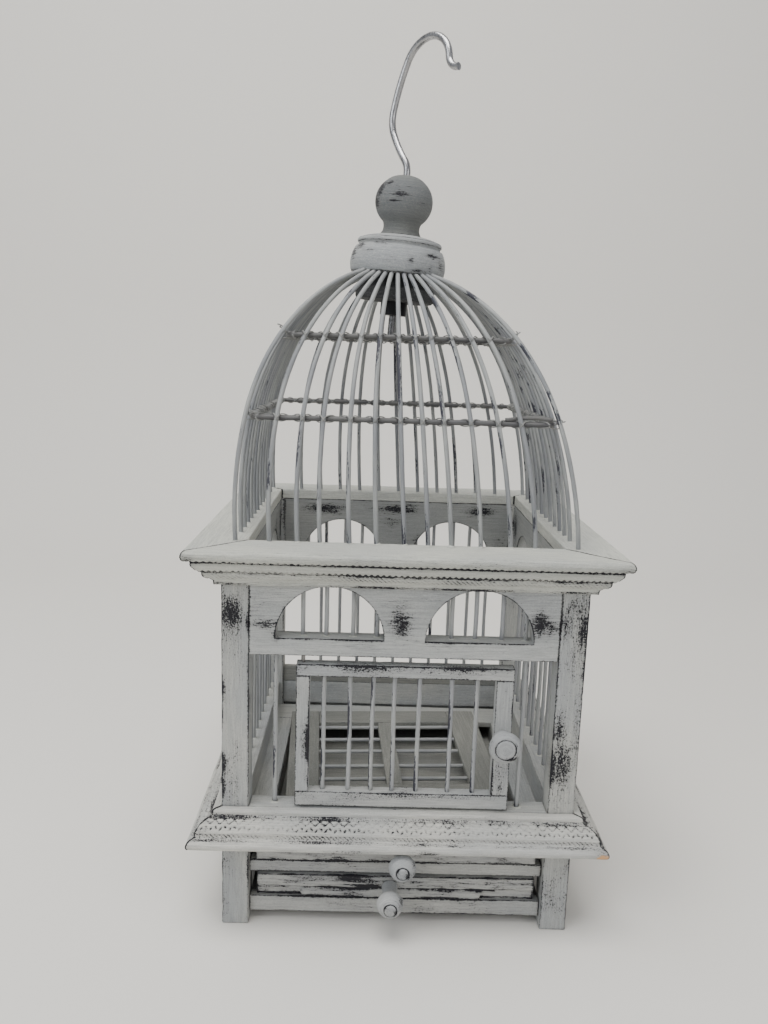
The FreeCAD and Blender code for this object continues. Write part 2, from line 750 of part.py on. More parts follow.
rod_holes = [grille_rod(y, grille_rod_d + 2 * bar_fit) for y in grille_rod_y]
strips = [
    box(-gx, -inside_x, -gy, gy, g0, g1),
    box(inside_x, gx, -gy, gy, g0, g1),
    box(-inside_x, inside_x, -gy, -inside_y, g0, g1),
    box(-inside_x, inside_x, inside_y, gy, g0, g1),
    box(-grille_middle / 2, grille_middle / 2, -inside_y, inside_y, g0, g1),
]
keep("floor_grille_frame", [laid(one_solid(cut(s, rod_holes))) for s in strips])
keep("floor_grille_rods", [laid(grille_rod(y, grille_rod_d)) for y in grille_rod_y])

# ---------------------------------------------------------------- write the nodes
for name, solids in sorted(ALL.items()):
    whole = solids[0] if len(solids) == 1 else Part.makeCompound(solids)
    valid = whole.isValid() and all(s.Volume > 0 for s in whole.Solids)
    b = whole.BoundBox
    print("%-26s %2d solids  %9.0f mm3  x %7.1f %7.1f  y %7.1f %7.1f  z %7.1f %7.1f %s" % (
        name, len(whole.Solids), whole.Volume, b.XMin, b.XMax, b.YMin, b.YMax, b.ZMin, b.ZMax,
        "" if valid else "INVALID"))
    whole.exportStep(os.path.join("parts", name + ".step"))
print(len(ALL), "nodes")
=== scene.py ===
import math
import random

import bmesh
import bpy
import numpy as np
from mathutils import Matrix, Vector, geometry, noise


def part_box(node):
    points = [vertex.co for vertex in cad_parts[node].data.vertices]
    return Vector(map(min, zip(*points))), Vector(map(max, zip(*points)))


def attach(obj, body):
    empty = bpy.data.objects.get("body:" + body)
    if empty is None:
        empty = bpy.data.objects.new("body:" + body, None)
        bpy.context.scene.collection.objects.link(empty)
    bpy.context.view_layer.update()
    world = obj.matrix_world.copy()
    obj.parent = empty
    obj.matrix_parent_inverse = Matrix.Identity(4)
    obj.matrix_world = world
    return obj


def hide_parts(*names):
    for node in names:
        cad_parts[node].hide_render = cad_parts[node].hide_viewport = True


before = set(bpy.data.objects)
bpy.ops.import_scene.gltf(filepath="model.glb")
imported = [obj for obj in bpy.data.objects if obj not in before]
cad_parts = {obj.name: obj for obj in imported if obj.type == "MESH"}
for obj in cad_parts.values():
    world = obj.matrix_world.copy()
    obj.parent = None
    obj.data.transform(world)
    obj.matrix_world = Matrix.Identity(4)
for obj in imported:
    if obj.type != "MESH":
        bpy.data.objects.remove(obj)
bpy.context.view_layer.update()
MM = 0.001

# ---------------------------------------------------------------- stand and light
# The cage stands on a wide pale studio table that turns up into a plain pale wall
# behind it, in the light of large soft lamps.
scene = bpy.context.scene


def plain_backdrop():
    floor_half = 4.0
    wall_y = 1.3
    bend = 0.5
    rows = [(-6.0, 0.0), (wall_y - bend, 0.0)]
    for i in range(1, 13):
        turn = math.pi / 2 * i / 12
        rows.append((wall_y - bend + bend * math.sin(turn), bend - bend * math.cos(turn)))
    rows.append((wall_y, 4.0))
    points = []
    for y, z in rows:
        points.append((-floor_half, y, z))
        points.append((floor_half, y, z))
    faces = [(2 * i, 2 * i + 1, 2 * i + 3, 2 * i + 2) for i in range(len(rows) - 1)]
    sheet = bpy.data.meshes.new("pale_backdrop")
    sheet.from_pydata(points, [], faces)
    sheet.shade_smooth()
    paper = bpy.data.materials.new("pale_paper")
    paper.use_nodes = True
    shader = paper.node_tree.nodes["Principled BSDF"]
    shader.inputs["Base Color"].default_value = (0.82, 0.80, 0.76, 1)
    shader.inputs["Roughness"].default_value = 0.85
    shader.inputs["Specular IOR Level"].default_value = 0.15
    sheet.materials.append(paper)
    backdrop = bpy.data.objects.new("pale_backdrop", sheet)
    scene.collection.objects.link(backdrop)


def soft_lamp(name, place, target, width, height, power, colour=(1, 1, 1)):
    lamp = bpy.data.lights.new(name, "AREA")
    lamp.shape = "RECTANGLE"
    lamp.size = width
    lamp.size_y = height
    lamp.energy = power
    lamp.color = colour
    holder = bpy.data.objects.new(name, lamp)
    holder.location = place
    aim = Vector(target) - Vector(place)
    holder.rotation_euler = aim.to_track_quat("-Z", "Y").to_euler()
    scene.collection.objects.link(holder)


plain_backdrop()
soft_lamp("ceiling_light", (-0.3, -0.55, 2.25), (0, 0, 0.2), 1.6, 1.2, 50, (1.0, 0.985, 0.95))
soft_lamp("window_light", (-1.5, -1.3, 1.2), (0, 0, 0.25), 1.2, 1.2, 14, (0.93, 0.97, 1.0))
soft_lamp("fill_light", (1.4, -1.6, 0.9), (0, 0, 0.25), 1.2, 1.0, 7, (1.0, 0.98, 0.96))

world = bpy.data.worlds.new("studio")
world.use_nodes = True
world.node_tree.nodes["Background"].inputs["Color"].default_value = (0.86, 0.88, 0.92, 1)
world.node_tree.nodes["Background"].inputs["Strength"].default_value = 0.42
scene.world = world

lens = bpy.data.cameras.new("camera")
lens.sensor_fit = "AUTO"
lens.sensor_width = 36.0
lens.lens = 855.02 / 1024 * 36.0
lens.clip_start = 0.02
camera = bpy.data.objects.new("camera", lens)
yaw, pitch, roll = (math.radians(a) for a in (-0.951, -10.665, 1.831))
ahead = Vector((-math.sin(yaw) * math.cos(pitch), math.cos(yaw) * math.cos(pitch), math.sin(pitch)))
level = Vector((math.cos(yaw), math.sin(yaw), 0))
upward = level.cross(ahead)
side_axis = level * math.cos(roll) + upward * math.sin(roll)
up_axis = upward * math.cos(roll) - level * math.sin(roll)
turned_camera = Matrix((side_axis, up_axis, -ahead)).transposed().to_4x4()
camera.matrix_world = Matrix.Translation((-0.02444, -0.63731, 0.38537)) @ turned_camera
scene.collection.objects.link(camera)
scene.camera = camera

# ---------------------------------------------------------------- corner posts
# Four square sticks of soft wood run from the table to the cornice, so their lower
# ends are the legs. They are brushed with chalky grey-white paint over a black
# undercoat, then rubbed through along the arrises.
rng = random.Random(41)


class Brush:
    """Adds nodes to one material, each returning its output socket."""

    def __init__(self, name):
        self.material = bpy.data.materials.new(name)
        self.material.use_nodes = True
        self.tree = self.material.node_tree
        self.shader = self.tree.nodes["Principled BSDF"]

    def node(self, kind, **values):
        made = self.tree.nodes.new(kind)
        for key, value in values.items():
            setattr(made, key, value)
        return made

    def put(self, value, socket):
        if hasattr(value, "is_output"):
            self.tree.links.new(value, socket)
        else:
            socket.default_value = value

    def carried(self, name):
        return self.node("ShaderNodeAttribute", attribute_type="GEOMETRY", attribute_name=name)

    def math(self, operation, a, b=0.0, c=0.0, clamp=False):
        made = self.node("ShaderNodeMath", operation=operation, use_clamp=clamp)
        self.put(a, made.inputs[0])
        self.put(b, made.inputs[1])
        self.put(c, made.inputs[2])
        return made.outputs[0]

    def stretch(self, vector, scale, shift=(0, 0, 0)):
        made = self.node("ShaderNodeMapping")
        self.put(vector, made.inputs["Vector"])
        made.inputs["Scale"].default_value = scale
        made.inputs["Location"].default_value = shift
        return made.outputs[0]

    def grainy(self, vector, scale=1.0, detail=4.0, rough=0.6, distortion=0.0):
        made = self.node("ShaderNodeTexNoise")
        self.put(vector, made.inputs["Vector"])
        made.inputs["Scale"].default_value = scale
        made.inputs["Detail"].default_value = detail
        made.inputs["Roughness"].default_value = rough
        made.inputs["Distortion"].default_value = distortion
        return made.outputs["Fac"]

    def spread(self, value, low, high, to_low=0.0, to_high=1.0, smooth=True):
        kind = "SMOOTHSTEP" if smooth else "LINEAR"
        made = self.node("ShaderNodeMapRange", interpolation_type=kind)
        self.put(value, made.inputs[0])
        for place, number in zip((1, 2, 3, 4), (low, high, to_low, to_high)):
            made.inputs[place].default_value = number
        return made.outputs[0]

    def blend(self, share, a, b):
        made = self.node("ShaderNodeMix", data_type="RGBA")
        self.put(share, made.inputs[0])
        self.put(a, made.inputs[6])
        self.put(b, made.inputs[7])
        return made.outputs[2]

    def raised(self, height, strength, distance=0.001):
        made = self.node("ShaderNodeBump")
        made.inputs["Strength"].default_value = strength
        made.inputs["Distance"].default_value = distance
        self.put(height, made.inputs["Height"])
        self.put(made.outputs[0], self.shader.inputs["Normal"])


def chalky_paint(name, pale, cool, wear=0.5, reach=1.3, flecks=0.5, streak=0.5, coarse=1.0,
                 black=(0.012, 0.012, 0.017)):
    """Brushed chalk paint over a black undercoat.

    The piece carries: grain (mm along, across and through the wood), arris (mm from
    the nearest edge) and rubbed (0 to 1, where it was sanded through).
    """
    b = Brush(name)
    grain = b.carried("grain").outputs["Vector"]
    arris = b.carried("arris").outputs["Fac"]
    rubbed = b.carried("rubbed").outputs["Fac"]
    long_hair = b.grainy(b.stretch(grain, (0.05 * coarse, 0.95, 0.95)), 1.0, 5.0, 0.68, 0.25)
    short_hair = b.grainy(b.stretch(grain, (0.22 * coarse, 1.7, 1.7), (31, 7, 3)), 1.0, 4.0, 0.7,
                          0.4)
    crumb = b.grainy(b.stretch(grain, (0.9, 1.1, 1.1), (5, 61, 9)), 1.0, 4.0, 0.62, 0.3)
    patch = b.grainy(b.stretch(grain, (0.035, 0.06, 0.06), (11, 3, 77)), 1.0, 3.0, 0.55)
    cloud = b.grainy(b.stretch(grain, (0.012, 0.03, 0.03), (3, 8, 5)), 1.0, 2.0, 0.5)

    # how far the paint is gone: broken edges first, then rubbed places, then loose flecks
    edge_pull = b.math("MULTIPLY", b.spread(arris, 0.0, reach, 1.0, 0.0), 0.16 + 0.5 * wear)
    rub_pull = b.math("MULTIPLY", rubbed, 0.82)
    fleck_pull = b.math("MULTIPLY", b.spread(patch, 0.40, 0.66), 0.30 * flecks)
    hair = b.math("ADD", b.math("MULTIPLY", long_hair, 0.35), b.math("MULTIPLY", short_hair, 0.65))
    crumbs = b.math("ADD", b.math("MULTIPLY", hair, streak),
                    b.math("MULTIPLY", crumb, 1.0 - streak))
    uneven_coat = b.spread(crumbs, 0.36, 0.66, -0.02, 1.0, smooth=False)
    pull = b.math("ADD", b.math("ADD", edge_pull, rub_pull), fleck_pull)
    total = b.math("ADD", uneven_coat, pull)
    gone = b.spread(total, 0.97, 1.05)
    thin = b.spread(total, 0.55, 1.0)

    paint = b.blend(b.spread(cloud, 0.35, 0.68), (*pale, 1), (*cool, 1))
    brushed = b.blend(b.spread(long_hair, 0.36, 0.64, 0.0, 0.5), paint,
                      (*[c * 0.72 for c in cool], 1))
    bright = b.blend(b.spread(crumb, 0.5, 0.72, 0.0, 0.55), brushed,
                     (*[min(1, c * 1.25) for c in pale], 1))
    dusty = b.blend(b.spread(crumb, 0.28, 0.46, 0.38, 0.0), bright, (*[c * 0.5 for c in cool], 1))
    veiled = b.blend(b.math("MULTIPLY", thin, 0.5), dusty, (0.16, 0.16, 0.165, 1))
    # Painted shade: where the shade attribute is set (the arch rails' inner faces), the paint is
    # darkened.
    inner_face_shade = b.math("MULTIPLY", b.carried("shade").outputs["Fac"], 0.5)
    veiled = b.blend(inner_face_shade, veiled, (0.15, 0.155, 0.145, 1))
    raw = b.carried("raw_wood").outputs["Fac"]
    colour = b.blend(b.spread(raw, 0.35, 0.6), b.blend(gone, veiled, (*black, 1)),
                     (0.62, 0.36, 0.18, 1))
    b.put(colour, b.shader.inputs["Base Color"])
    b.put(b.spread(gone, 0.0, 1.0, 0.74, 0.52, smooth=False), b.shader.inputs["Roughness"])
    b.shader.inputs["Specular IOR Level"].default_value = 0.32

    coat = b.math("MULTIPLY", b.math("SUBTRACT", 1.0, gone), 0.24)
    ridges = b.math("MULTIPLY", long_hair, 0.5)
    fine = b.math("MULTIPLY", crumb, 0.55)
    height = b.math("ADD", b.math("ADD", coat, ridges), fine)
    b.raised(height, 0.9)
    return b.material


PALE = (0.50, 0.50, 0.465)
COOL = (0.40, 0.415, 0.42)
post_paint = chalky_paint("chalky_paint_posts", PALE, COOL, wear=0.6, reach=1.6, flecks=0.9,
                          streak=0.42)


def box_mm(node):
    """The low and high corners of a CAD node, in mm."""
    low, high = (np.array(c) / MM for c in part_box(node))
    return low, high


def rub_of(points, spots):
    """How much each point (mm) was rubbed, from spots (x, y, z, sx, sy, sz, strength)."""
    rubbed = np.zeros(len(points))
    for x, y, z, sx, sy, sz, strength in spots:
        away = ((points - (x, y, z)) / (sx, sy, sz)) ** 2
        rubbed = np.maximum(rubbed, strength * np.exp(-away.sum(1)))
    return rubbed


def uneven(points, size, amount, seed):
    """A slow unevenness for each point, in mm."""
    shift = Vector((seed * 3.7, seed * 1.3, seed * 7.1))
    return np.array([noise.noise(Vector(p) / size + shift) for p in points]) * amount


def finish_piece(name, points, faces, body, paint, stands_for=(), grain=None, arris=None,
                 rubbed=None, raw=None,
                 shade=None):
    """Makes the mesh (mm in, metres out), gives it its paint and lets it ride."""
    mesh = bpy.data.meshes.new(name)
    mesh.from_pydata((np.asarray(points) * MM).tolist(), [], faces)
    count = len(points)
    carried = mesh.attributes.new("grain", "FLOAT_VECTOR", "POINT")
    carried.data.foreach_set("vector",
                             np.asarray(points if grain is None else grain, float).ravel())
    for key, values in (("arris", arris), ("rubbed", rubbed), ("raw_wood", raw), ("shade", shade)):
        if key in ("raw_wood", "shade") and values is None:
            continue
        carried = mesh.attributes.new(key, "FLOAT", "POINT")
        default = 9.0 if key == "arris" else 0.0
        carried.data.foreach_set("value",
                                 np.full(count, default) if values is None
                                 else np.asarray(values, float))
    mesh.shade_smooth()
    mesh.materials.append(paint)
    piece = bpy.data.objects.new(name, mesh)
    scene.collection.objects.link(piece)
    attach(piece, body)
    if stands_for:
        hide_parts(*([stands_for] if isinstance(stands_for, str) else stands_for))
    return piece


def board_mesh(low, high, along, soft=0.7, cell=4.0, nick=0.5, swell=0.10):
    """A planed stick or board with eased, slightly nicked arrises.

    Returns points, faces, grain and arris distance, all in mm.
    """
    low = np.array(low, float)
    high = np.array(high, float)
    size = high - low
    ticks = []
    for a in range(3):
        near = [d for d in (0, soft * 0.3, soft * 0.65, soft, soft * 2.2, soft * 4)
                if d < size[a] / 2 - 0.15]
        start = near[-1]
        count = max(1, int(round((size[a] - 2 * start) / cell)))
        middle = np.linspace(start, size[a] - start, count + 1)
        ticks.append(np.concatenate([near[:-1], middle, size[a] - np.array(near[:-1][::-1])]))
    index = {}
    points = []
    faces = []

    def corner(i, j, k):
        key = (i, j, k)
        if key not in index:
            index[key] = len(points)
            points.append((ticks[0][i], ticks[1][j], ticks[2][k]))
        return index[key]

    last = [len(t) - 1 for t in ticks]
    for a in range(3):
        b, c = (a + 1) % 3, (a + 2) % 3
        for end in (0, last[a]):
            for i in range(last[b]):
                for j in range(last[c]):
                    loop = []
                    for di, dj in ((0, 0), (1, 0), (1, 1), (0, 1)):
                        at = [0, 0, 0]
                        at[a], at[b], at[c] = end, i + di, j + dj
                        loop.append(corner(*at))
                    faces.append(loop if end else loop[::-1])
    points = np.array(points)
    gaps = np.sort(np.minimum(points, size - points), axis=1)
    arris = gaps[:, 1]
    ease = min(soft, size.min() / 2 - 0.05)
    inner = np.clip(points, ease, size - ease)
    outward = points - inner
    length = np.linalg.norm(outward, axis=1, keepdims=True)
    outward = outward / np.maximum(length, 1e-9)
    shaped = inner + outward * ease
    seed = rng.uniform(0, 50)
    world_points = shaped + low
    dents = uneven(world_points, 5.0, 1.0, seed)
    chips = np.clip(dents - 0.22, 0, None) * nick * 2.2 * np.clip(1 - arris / 1.6, 0, 1)
    slow = uneven(world_points, 34.0, swell, seed + 9) - swell * 0.6
    shaped = world_points + outward * (slow - chips)[:, None]
    order = {"x": (0, 1, 2), "y": (1, 0, 2), "z": (2, 0, 1)}[along]
    grain = points[:, order] + np.array((seed * 40, seed * 9, seed * 5))
    return shaped, faces, grain, arris


def board(name, body, along, paint, slot="paint_wood", node=None, low=None, high=None, spots=(),
          relief=None, **shape):
    """A painted board in the place of a CAD node, or between two corners."""
    if node is not None:
        low, high = box_mm(node)
    points, faces, grain, arris = board_mesh(low, high, along, **shape)
    rubbed = rub_of(points, spots)
    if relief is not None:
        sunk, bare = relief(points, low)
        front = np.clip((low[1] + 2.0 - points[:, 1]) / 1.6, 0, 1)
        points[:, 1] += sunk * front
        rubbed = np.maximum(rubbed, bare * front)
    return finish_piece(name, points, faces, body, paint, node or (), grain, arris, rubbed)


# rubbed places: x, y, z, then how far each reaches, then how bare it is
post_rubs = {
    "corner_post_front_left": [
        (-108.5, -117, 219, 5.0, 5, 10, 0.72), (-114, -117, 222, 3.0, 5, 12, 0.6),
        (-99.5, -117, 213, 4, 5, 5, 0.7),
        (-116.6, -116, 168, 3.2, 4, 9, 1.0), (-116.8, -116, 150, 2.2, 4, 7, 0.85),
        (-116.4, -116, 116, 2.8, 4, 7, 0.9),
        (-116.6, -116, 100, 2.4, 4, 7, 0.85), (-107, -117, 128, 2.2, 4, 7, 0.35),
        (-110, -117, 95, 6, 4, 9, 0.22),
        (-108, -117, 246, 8, 4, 10, 0.2), (-99.2, -117, 160, 1.1, 4, 30, 0.5),
        (-99.4, -117, 40, 1.6, 4, 12, 0.5),
        (-108, -117, 30, 9, 4, 25, 0.14),
    ],
    "corner_post_front_right": [
        (107, -117, 228, 7, 5, 9, 0.6), (102.5, -117, 217, 5, 5, 8, 0.8),
        (114, -117, 214, 4, 5, 11, 0.75),
        (112, -117, 232, 5, 5, 10, 0.3), (104, -117, 146, 3.6, 4, 18, 0.8),
        (107.5, -117, 124, 5.2, 4, 17, 0.85),
        (114.5, -117, 150, 2.6, 4, 26, 0.55), (101, -117, 118, 2.0, 4, 18, 0.7),
        (116.5, -117, 180, 1.4, 4, 40, 0.5),
        (99.3, -117, 170, 1.0, 4, 30, 0.45), (108, -117, 190, 8, 4, 24, 0.16),
        (108, -117, 30, 9, 4, 22, 0.16),
    ],
    "corner_post_back_left": [(-116, 110, 180, 4, 6, 30, 0.55), (-104, 116, 90, 5, 4, 30, 0.45),
                              (-99, 100, 240, 4, 4, 12, 0.4)],
    "corner_post_back_right": [(116, 112, 120, 4, 6, 40, 0.55), (104, 116, 200, 5, 4, 25, 0.45),
                               (101, 100, 238, 5, 4, 12, 0.45)],
}
for post, spots in post_rubs.items():
    board(post + "_painted", "cage", "z", post_paint, node=post, spots=spots, soft=0.9, cell=3.2,
          nick=0.9, swell=0.25)

# ---------------------------------------------------------------- base rails and seed board
# Four rails tie the posts together at floor height and carry the lower ends of the
# bars. A thin board stands on the back one to keep seed inside.
rail_paint = chalky_paint("chalky_paint_rails", PALE, COOL, wear=0.4, reach=1.1, flecks=0.45,
                          streak=0.6)
# A darker copy of the rail paint, used for the seed board, the case floor, the runners and the
# drawer trays.
inside_paint = chalky_paint("darker_inside_paint", (0.30, 0.30, 0.275), (0.235, 0.24, 0.23),
                            wear=0.35, flecks=0.5, streak=0.75)
for wall, along in (("front", "x"), ("back", "x"), ("left", "y"), ("right", "y")):
    node = "base_rail_" + wall
    board(node + "_painted", "cage", along, rail_paint, node=node, soft=0.8, cell=4.5, nick=0.5)
board("seed_board_painted", "cage", "x", inside_paint, node="back_seed_board", soft=0.6, cell=5)

# ---------------------------------------------------------------- base moulding
# Four mitred lengths of moulding are pinned round the base: a scalloped band, a
# groove of small teeth, and a plain roll at the bottom. The mitres stand open.
MITRE = 0.3
WALLS = ("front", "right", "back", "left")


def profile_steps(corners, step):
    """Walks round a profile and returns points about one step apart, and their normals."""
    points = []
    for (w0, z0), (w1, z1) in zip(corners, corners[1:]):
        length = math.hypot(w1 - w0, z1 - z0)
        count = max(1, int(math.ceil(length / step)))
        for i in range(count):
            share = i / count
            points.append((w0 + (w1 - w0) * share, z0 + (z1 - z0) * share))
    points.append(corners[-1])
    return np.array(points)


def round_bend(start, middle, end, count=9):
    """Points of the arc through three points, ends left out."""
    (ax, ay), (bx, by), (cx, cy) = start, middle, end
    d = 2 * (ax * (by - cy) + bx * (cy - ay) + cx * (ay - by))
    ux = ((ax**2 + ay**2) * (by - cy) + (bx**2 + by**2) * (cy - ay)
          + (cx**2 + cy**2) * (ay - by)) / d
    uy = ((ax**2 + ay**2) * (cx - bx) + (bx**2 + by**2) * (ax - cx)
          + (cx**2 + cy**2) * (bx - ax)) / d
    r = math.hypot(ax - ux, ay - uy)
    a0, a1, a2 = (math.atan2(y - uy, x - ux) for x, y in (start, middle, end))
    ccw = (a1 - a0) % (2 * math.pi) < (a2 - a0) % (2 * math.pi)
    sweep = (a2 - a0) % (2 * math.pi) if ccw else -((a0 - a2) % (2 * math.pi))
    return [(ux + r * math.cos(a0 + sweep * i / count), uy + r * math.sin(a0 + sweep * i / count))
            for i in range(1, count)]


def quarter(points, turns):
    turns %= 4
    x, y, z = points[:, 0], points[:, 1], points[:, 2]
    turned = {0: (x, y), 1: (-y, x), 2: (-x, -y), 3: (y, -x)}[turns]
    return np.stack([turned[0], turned[1], z], 1)


def moulding(name, node, corners, turns, carve, paint, step=0.7, spots=()):
    """One mitred length with the closed profile swept along the front wall, then turned.

    carve(x, w, z) gives the depth of carving (mm) and how bare the paint is there.
    """
    profile = profile_steps(corners + [corners[0]], step)[:-1]
    n = len(profile)
    ahead_p = np.roll(profile, -1, 0)
    behind_p = np.roll(profile, 1, 0)
    tangent = ahead_p - behind_p
    tangent /= np.maximum(np.linalg.norm(tangent, axis=1, keepdims=True), 1e-9)
    normal = np.stack([tangent[:, 1], -tangent[:, 0]], 1)
    if (np.roll(profile[:, 0], -1) * profile[:, 1]
        - profile[:, 0] * np.roll(profile[:, 1], -1)).sum() > 0:
        normal = -normal
    longest = profile[:, 0].max()
    half = int(longest / 0.62)
    share = np.linspace(-1, 1, 2 * half + 1)
    reach = profile[:, 0] - MITRE
    x = share[:, None] * reach[None, :]
    w = np.broadcast_to(profile[None, :, 0], x.shape)
    z = np.broadcast_to(profile[None, :, 1], x.shape)
    depth, bare = carve(x, w, z)
    seed = rng.uniform(0, 40)
    points = np.stack([x, -w, z], 2).reshape(-1, 3)
    slow = uneven(points, 30.0, 0.28, seed) + uneven(points, 6.0, 0.12, seed + 3)
    move = slow - 0.2 - depth.ravel()
    outward = np.stack([np.zeros(n), -normal[:, 0], normal[:, 1]], 1)
    outward = np.broadcast_to(outward[None], (len(share), n, 3)).reshape(-1, 3)
    points = points + outward * move[:, None]
    rows = len(share)
    faces = []
    for i in range(rows - 1):
        for j in range(n):
            k = (j + 1) % n
            faces.append((i * n + j, (i + 1) * n + j, (i + 1) * n + k, i * n + k))
    faces.append(tuple(range(n))[::-1])
    faces.append(tuple((rows - 1) * n + j for j in range(n)))
    if signed_volume(points, faces) < 0:
        faces = [tuple(reversed(f)) for f in faces]
    s = np.concatenate([[0], np.cumsum(np.linalg.norm(np.diff(profile, axis=0), axis=1))])
    grain = np.stack([x, np.broadcast_to(s[None, :], x.shape), np.full_like(x, turns * 37.0)],
                     2).reshape(-1, 3)
    from_end = (np.abs(reach)[None, :] - np.abs(x)) * 0.8
    arris = np.minimum(from_end + 0.25, 9).ravel()
    spun = quarter(points, turns)
    rubbed = np.maximum(bare.ravel(), rub_of(spun, spots))
    rubbed = np.maximum(rubbed, np.clip(1.1 - from_end.ravel() / 0.9, 0, 1))
    raw = None
    if node == "base_moulding":
        raw = rub_of(spun, [(132.5, -135.5, 66.5, 4.6, 5, 3.6, 1.0)]) + uneven(spun, 2.0, 0.25, 4.0)
    return finish_piece(name, spun, faces, "cage", paint, node, grain, arris, rubbed,
                        raw)


def signed_volume(points, faces):
    total = 0.0
    middle = points.mean(0)
    for face in faces[:: max(1, len(faces) // 3000)]:
        a, b, c = (points[face[i]] - middle for i in (0, 1, 2))
        total += float(np.dot(a, np.cross(b, c)))
    return total


def ripple(x, pitch, sharp=2.0, phase=0.0):
    """Repeated cuts along a band: 1 at the middle of a cut, 0 between."""
    return np.abs(np.cos(math.pi * (x / pitch + phase))) ** (2 * sharp)


def band(value, low, high, soft=0.4):
    """1 inside a band, 0 outside."""
    return np.clip((value - low) / soft + 0.5, 0, 1) * np.clip((high - value) / soft + 0.5, 0, 1)


# Painted light: a lighter copy of the wall paint, standing in for the extra light on the moulding's
# up-facing slopes.
moulding_paint = chalky_paint("chalky_paint_mouldings", (0.62, 0.61, 0.565), (0.50, 0.505, 0.49),
                              wear=0.45, reach=1.0, flecks=0.55, streak=0.45)
low_base, high_base = box_mm("base_rail_front")
wall = -low_base[1]
base_top = high_base[2]
base_low = low_base[2]
lip = wall + 20.0
base_corners = [
    (wall + 0.1, base_low), (wall + 0.1, base_top), (wall + 3.8, base_top),
    *round_bend((wall + 3.8, base_top), (wall + 5.0, base_top - 0.5), (wall + 5.5, base_top - 1.7),
                4),
    (wall + 5.5, base_top - 1.7), (wall + 5.7, base_top - 3.4), (wall + 6.6, base_top - 3.8),
    *round_bend((wall + 6.6, base_top - 3.8), (wall + 12.2, base_top - 6.6),
                (lip - 4.6, base_top - 12.6), 12),
    (lip - 4.6, base_top - 12.6), (lip - 4.4, base_top - 14.4), (lip - 2.2, base_top - 15.0),
    *round_bend((lip - 2.2, base_top - 15.0), (lip, base_top - 17.4), (lip - 0.7, base_low), 6),
    (lip - 0.7, base_low),
]


def base_carving(x, w, z):
    down = base_top - z
    face = (w > wall + 2).astype(float)
    waver = noise_rows(x, 0.02, 3.1)
    ribbon = 6.9 + 0.75 * np.sin(2 * math.pi * x / 6.2)
    comma = band(down, ribbon + 0.7, ribbon + 2.0, 0.5) * ripple(x, 3.1, 1.0, 0.2) * face
    above = band(down, ribbon - 2.0, ribbon - 1.1, 0.5) * face
    teeth = band(down, 11.6, 14.0, 0.6) * face * ripple(x - 1.2 * (down - 12), 2.9, 1.2)
    groove = band(down, 3.0, 4.4, 0.4) * face
    under = band(down, 14.4, 15.3, 0.3) * face
    depth = 1.0 * comma + 0.6 * above + 0.55 * teeth + 0.4 * groove
    bare = (0.8 * comma * (0.45 + 0.7 * waver) + 0.62 * above * (0.15 + waver)
            + 0.66 * teeth * (0.4 + waver)
            + 0.6 * groove * (0.3 + waver) + 0.55 * under * (0.2 + waver))
    return depth, bare


def noise_rows(x, size, seed):
    """A slow 0 to 1 change along a moulding, the same all round its profile."""
    line = x[:, 0]
    values = np.array([0.5 + 0.9 * noise.noise(Vector((v * size * 1.7, seed, 0)))
                       + 0.35 * noise.noise(Vector((v * size * 9, seed, 4))) for v in line])
    return np.clip(values, 0, 1)[:, None] * np.ones_like(x)


base_spots = {
    0: [(132, -134, 70, 5, 5, 5, 0.5), (-128, -130, 76, 6, 4, 3, 0.5),
        (-30, -137, 67, 20, 3, 2, 0.5), (20, -136, 67, 8, 3, 2, 0.8)],
    1: [(134, -60, 74, 5, 30, 5, 0.4), (130, 70, 80, 5, 20, 5, 0.45)],
    2: [(40, 134, 74, 40, 5, 4, 0.45), (-90, 132, 80, 20, 5, 5, 0.4)],
    3: [(-134, 40, 74, 5, 30, 5, 0.45), (-131, -90, 80, 5, 20, 5, 0.4)],
}
for turns in range(4):
    moulding("base_moulding_%d" % turns, "base_moulding" if turns == 0 else (), base_corners, turns,
             base_carving, moulding_paint, spots=base_spots[turns])

# ---------------------------------------------------------------- arch rails
# Each wall is closed at the top by a wide rail, sawn with two half-round arches. The
# saw left the arches' edges sharp, and the paint is rubbed off them.
arch_paint = chalky_paint("chalky_paint_arches", (0.50, 0.51, 0.495), COOL, wear=0.8, reach=1.3,
                          flecks=0.5, streak=0.6)
ARCH_R = 34.6
ARCH_X = 48.0
SILL_UP = 11.4


def arch_loop(centre, sill, grow, step=2.2):
    """The edge of one arch, moved out into the wood by grow."""
    r = ARCH_R + grow
    z0 = sill - grow
    half = math.sqrt(r * r - (sill - z0) ** 2)
    start = math.atan2(z0 - sill, half)
    count = int((math.pi - 2 * start) * r / step)
    arc = [(centre + r * math.cos(start + (math.pi - 2 * start) * i / count),
            sill + r * math.sin(start + (math.pi - 2 * start) * i / count))
           for i in range(count + 1)]
    flat = int(2 * half / step)
    base = [(centre - half + 2 * half * i / flat, z0) for i in range(1, flat)]
    return arc + base


def frame_loop(x0, x1, z0, z1, shrink, step=3.6):
    x0, x1, z0, z1 = x0 + shrink, x1 - shrink, z0 + shrink, z1 - shrink
    nx = max(2, int((x1 - x0) / step))
    nz = max(2, int((z1 - z0) / step))
    loop = [(x0 + (x1 - x0) * i / nx, z0) for i in range(nx)]
    loop += [(x1, z0 + (z1 - z0) * i / nz) for i in range(nz)]
    loop += [(x1 - (x1 - x0) * i / nx, z1) for i in range(nx)]
    loop += [(x0, z1 - (z1 - z0) * i / nz) for i in range(nz)]
    return loop


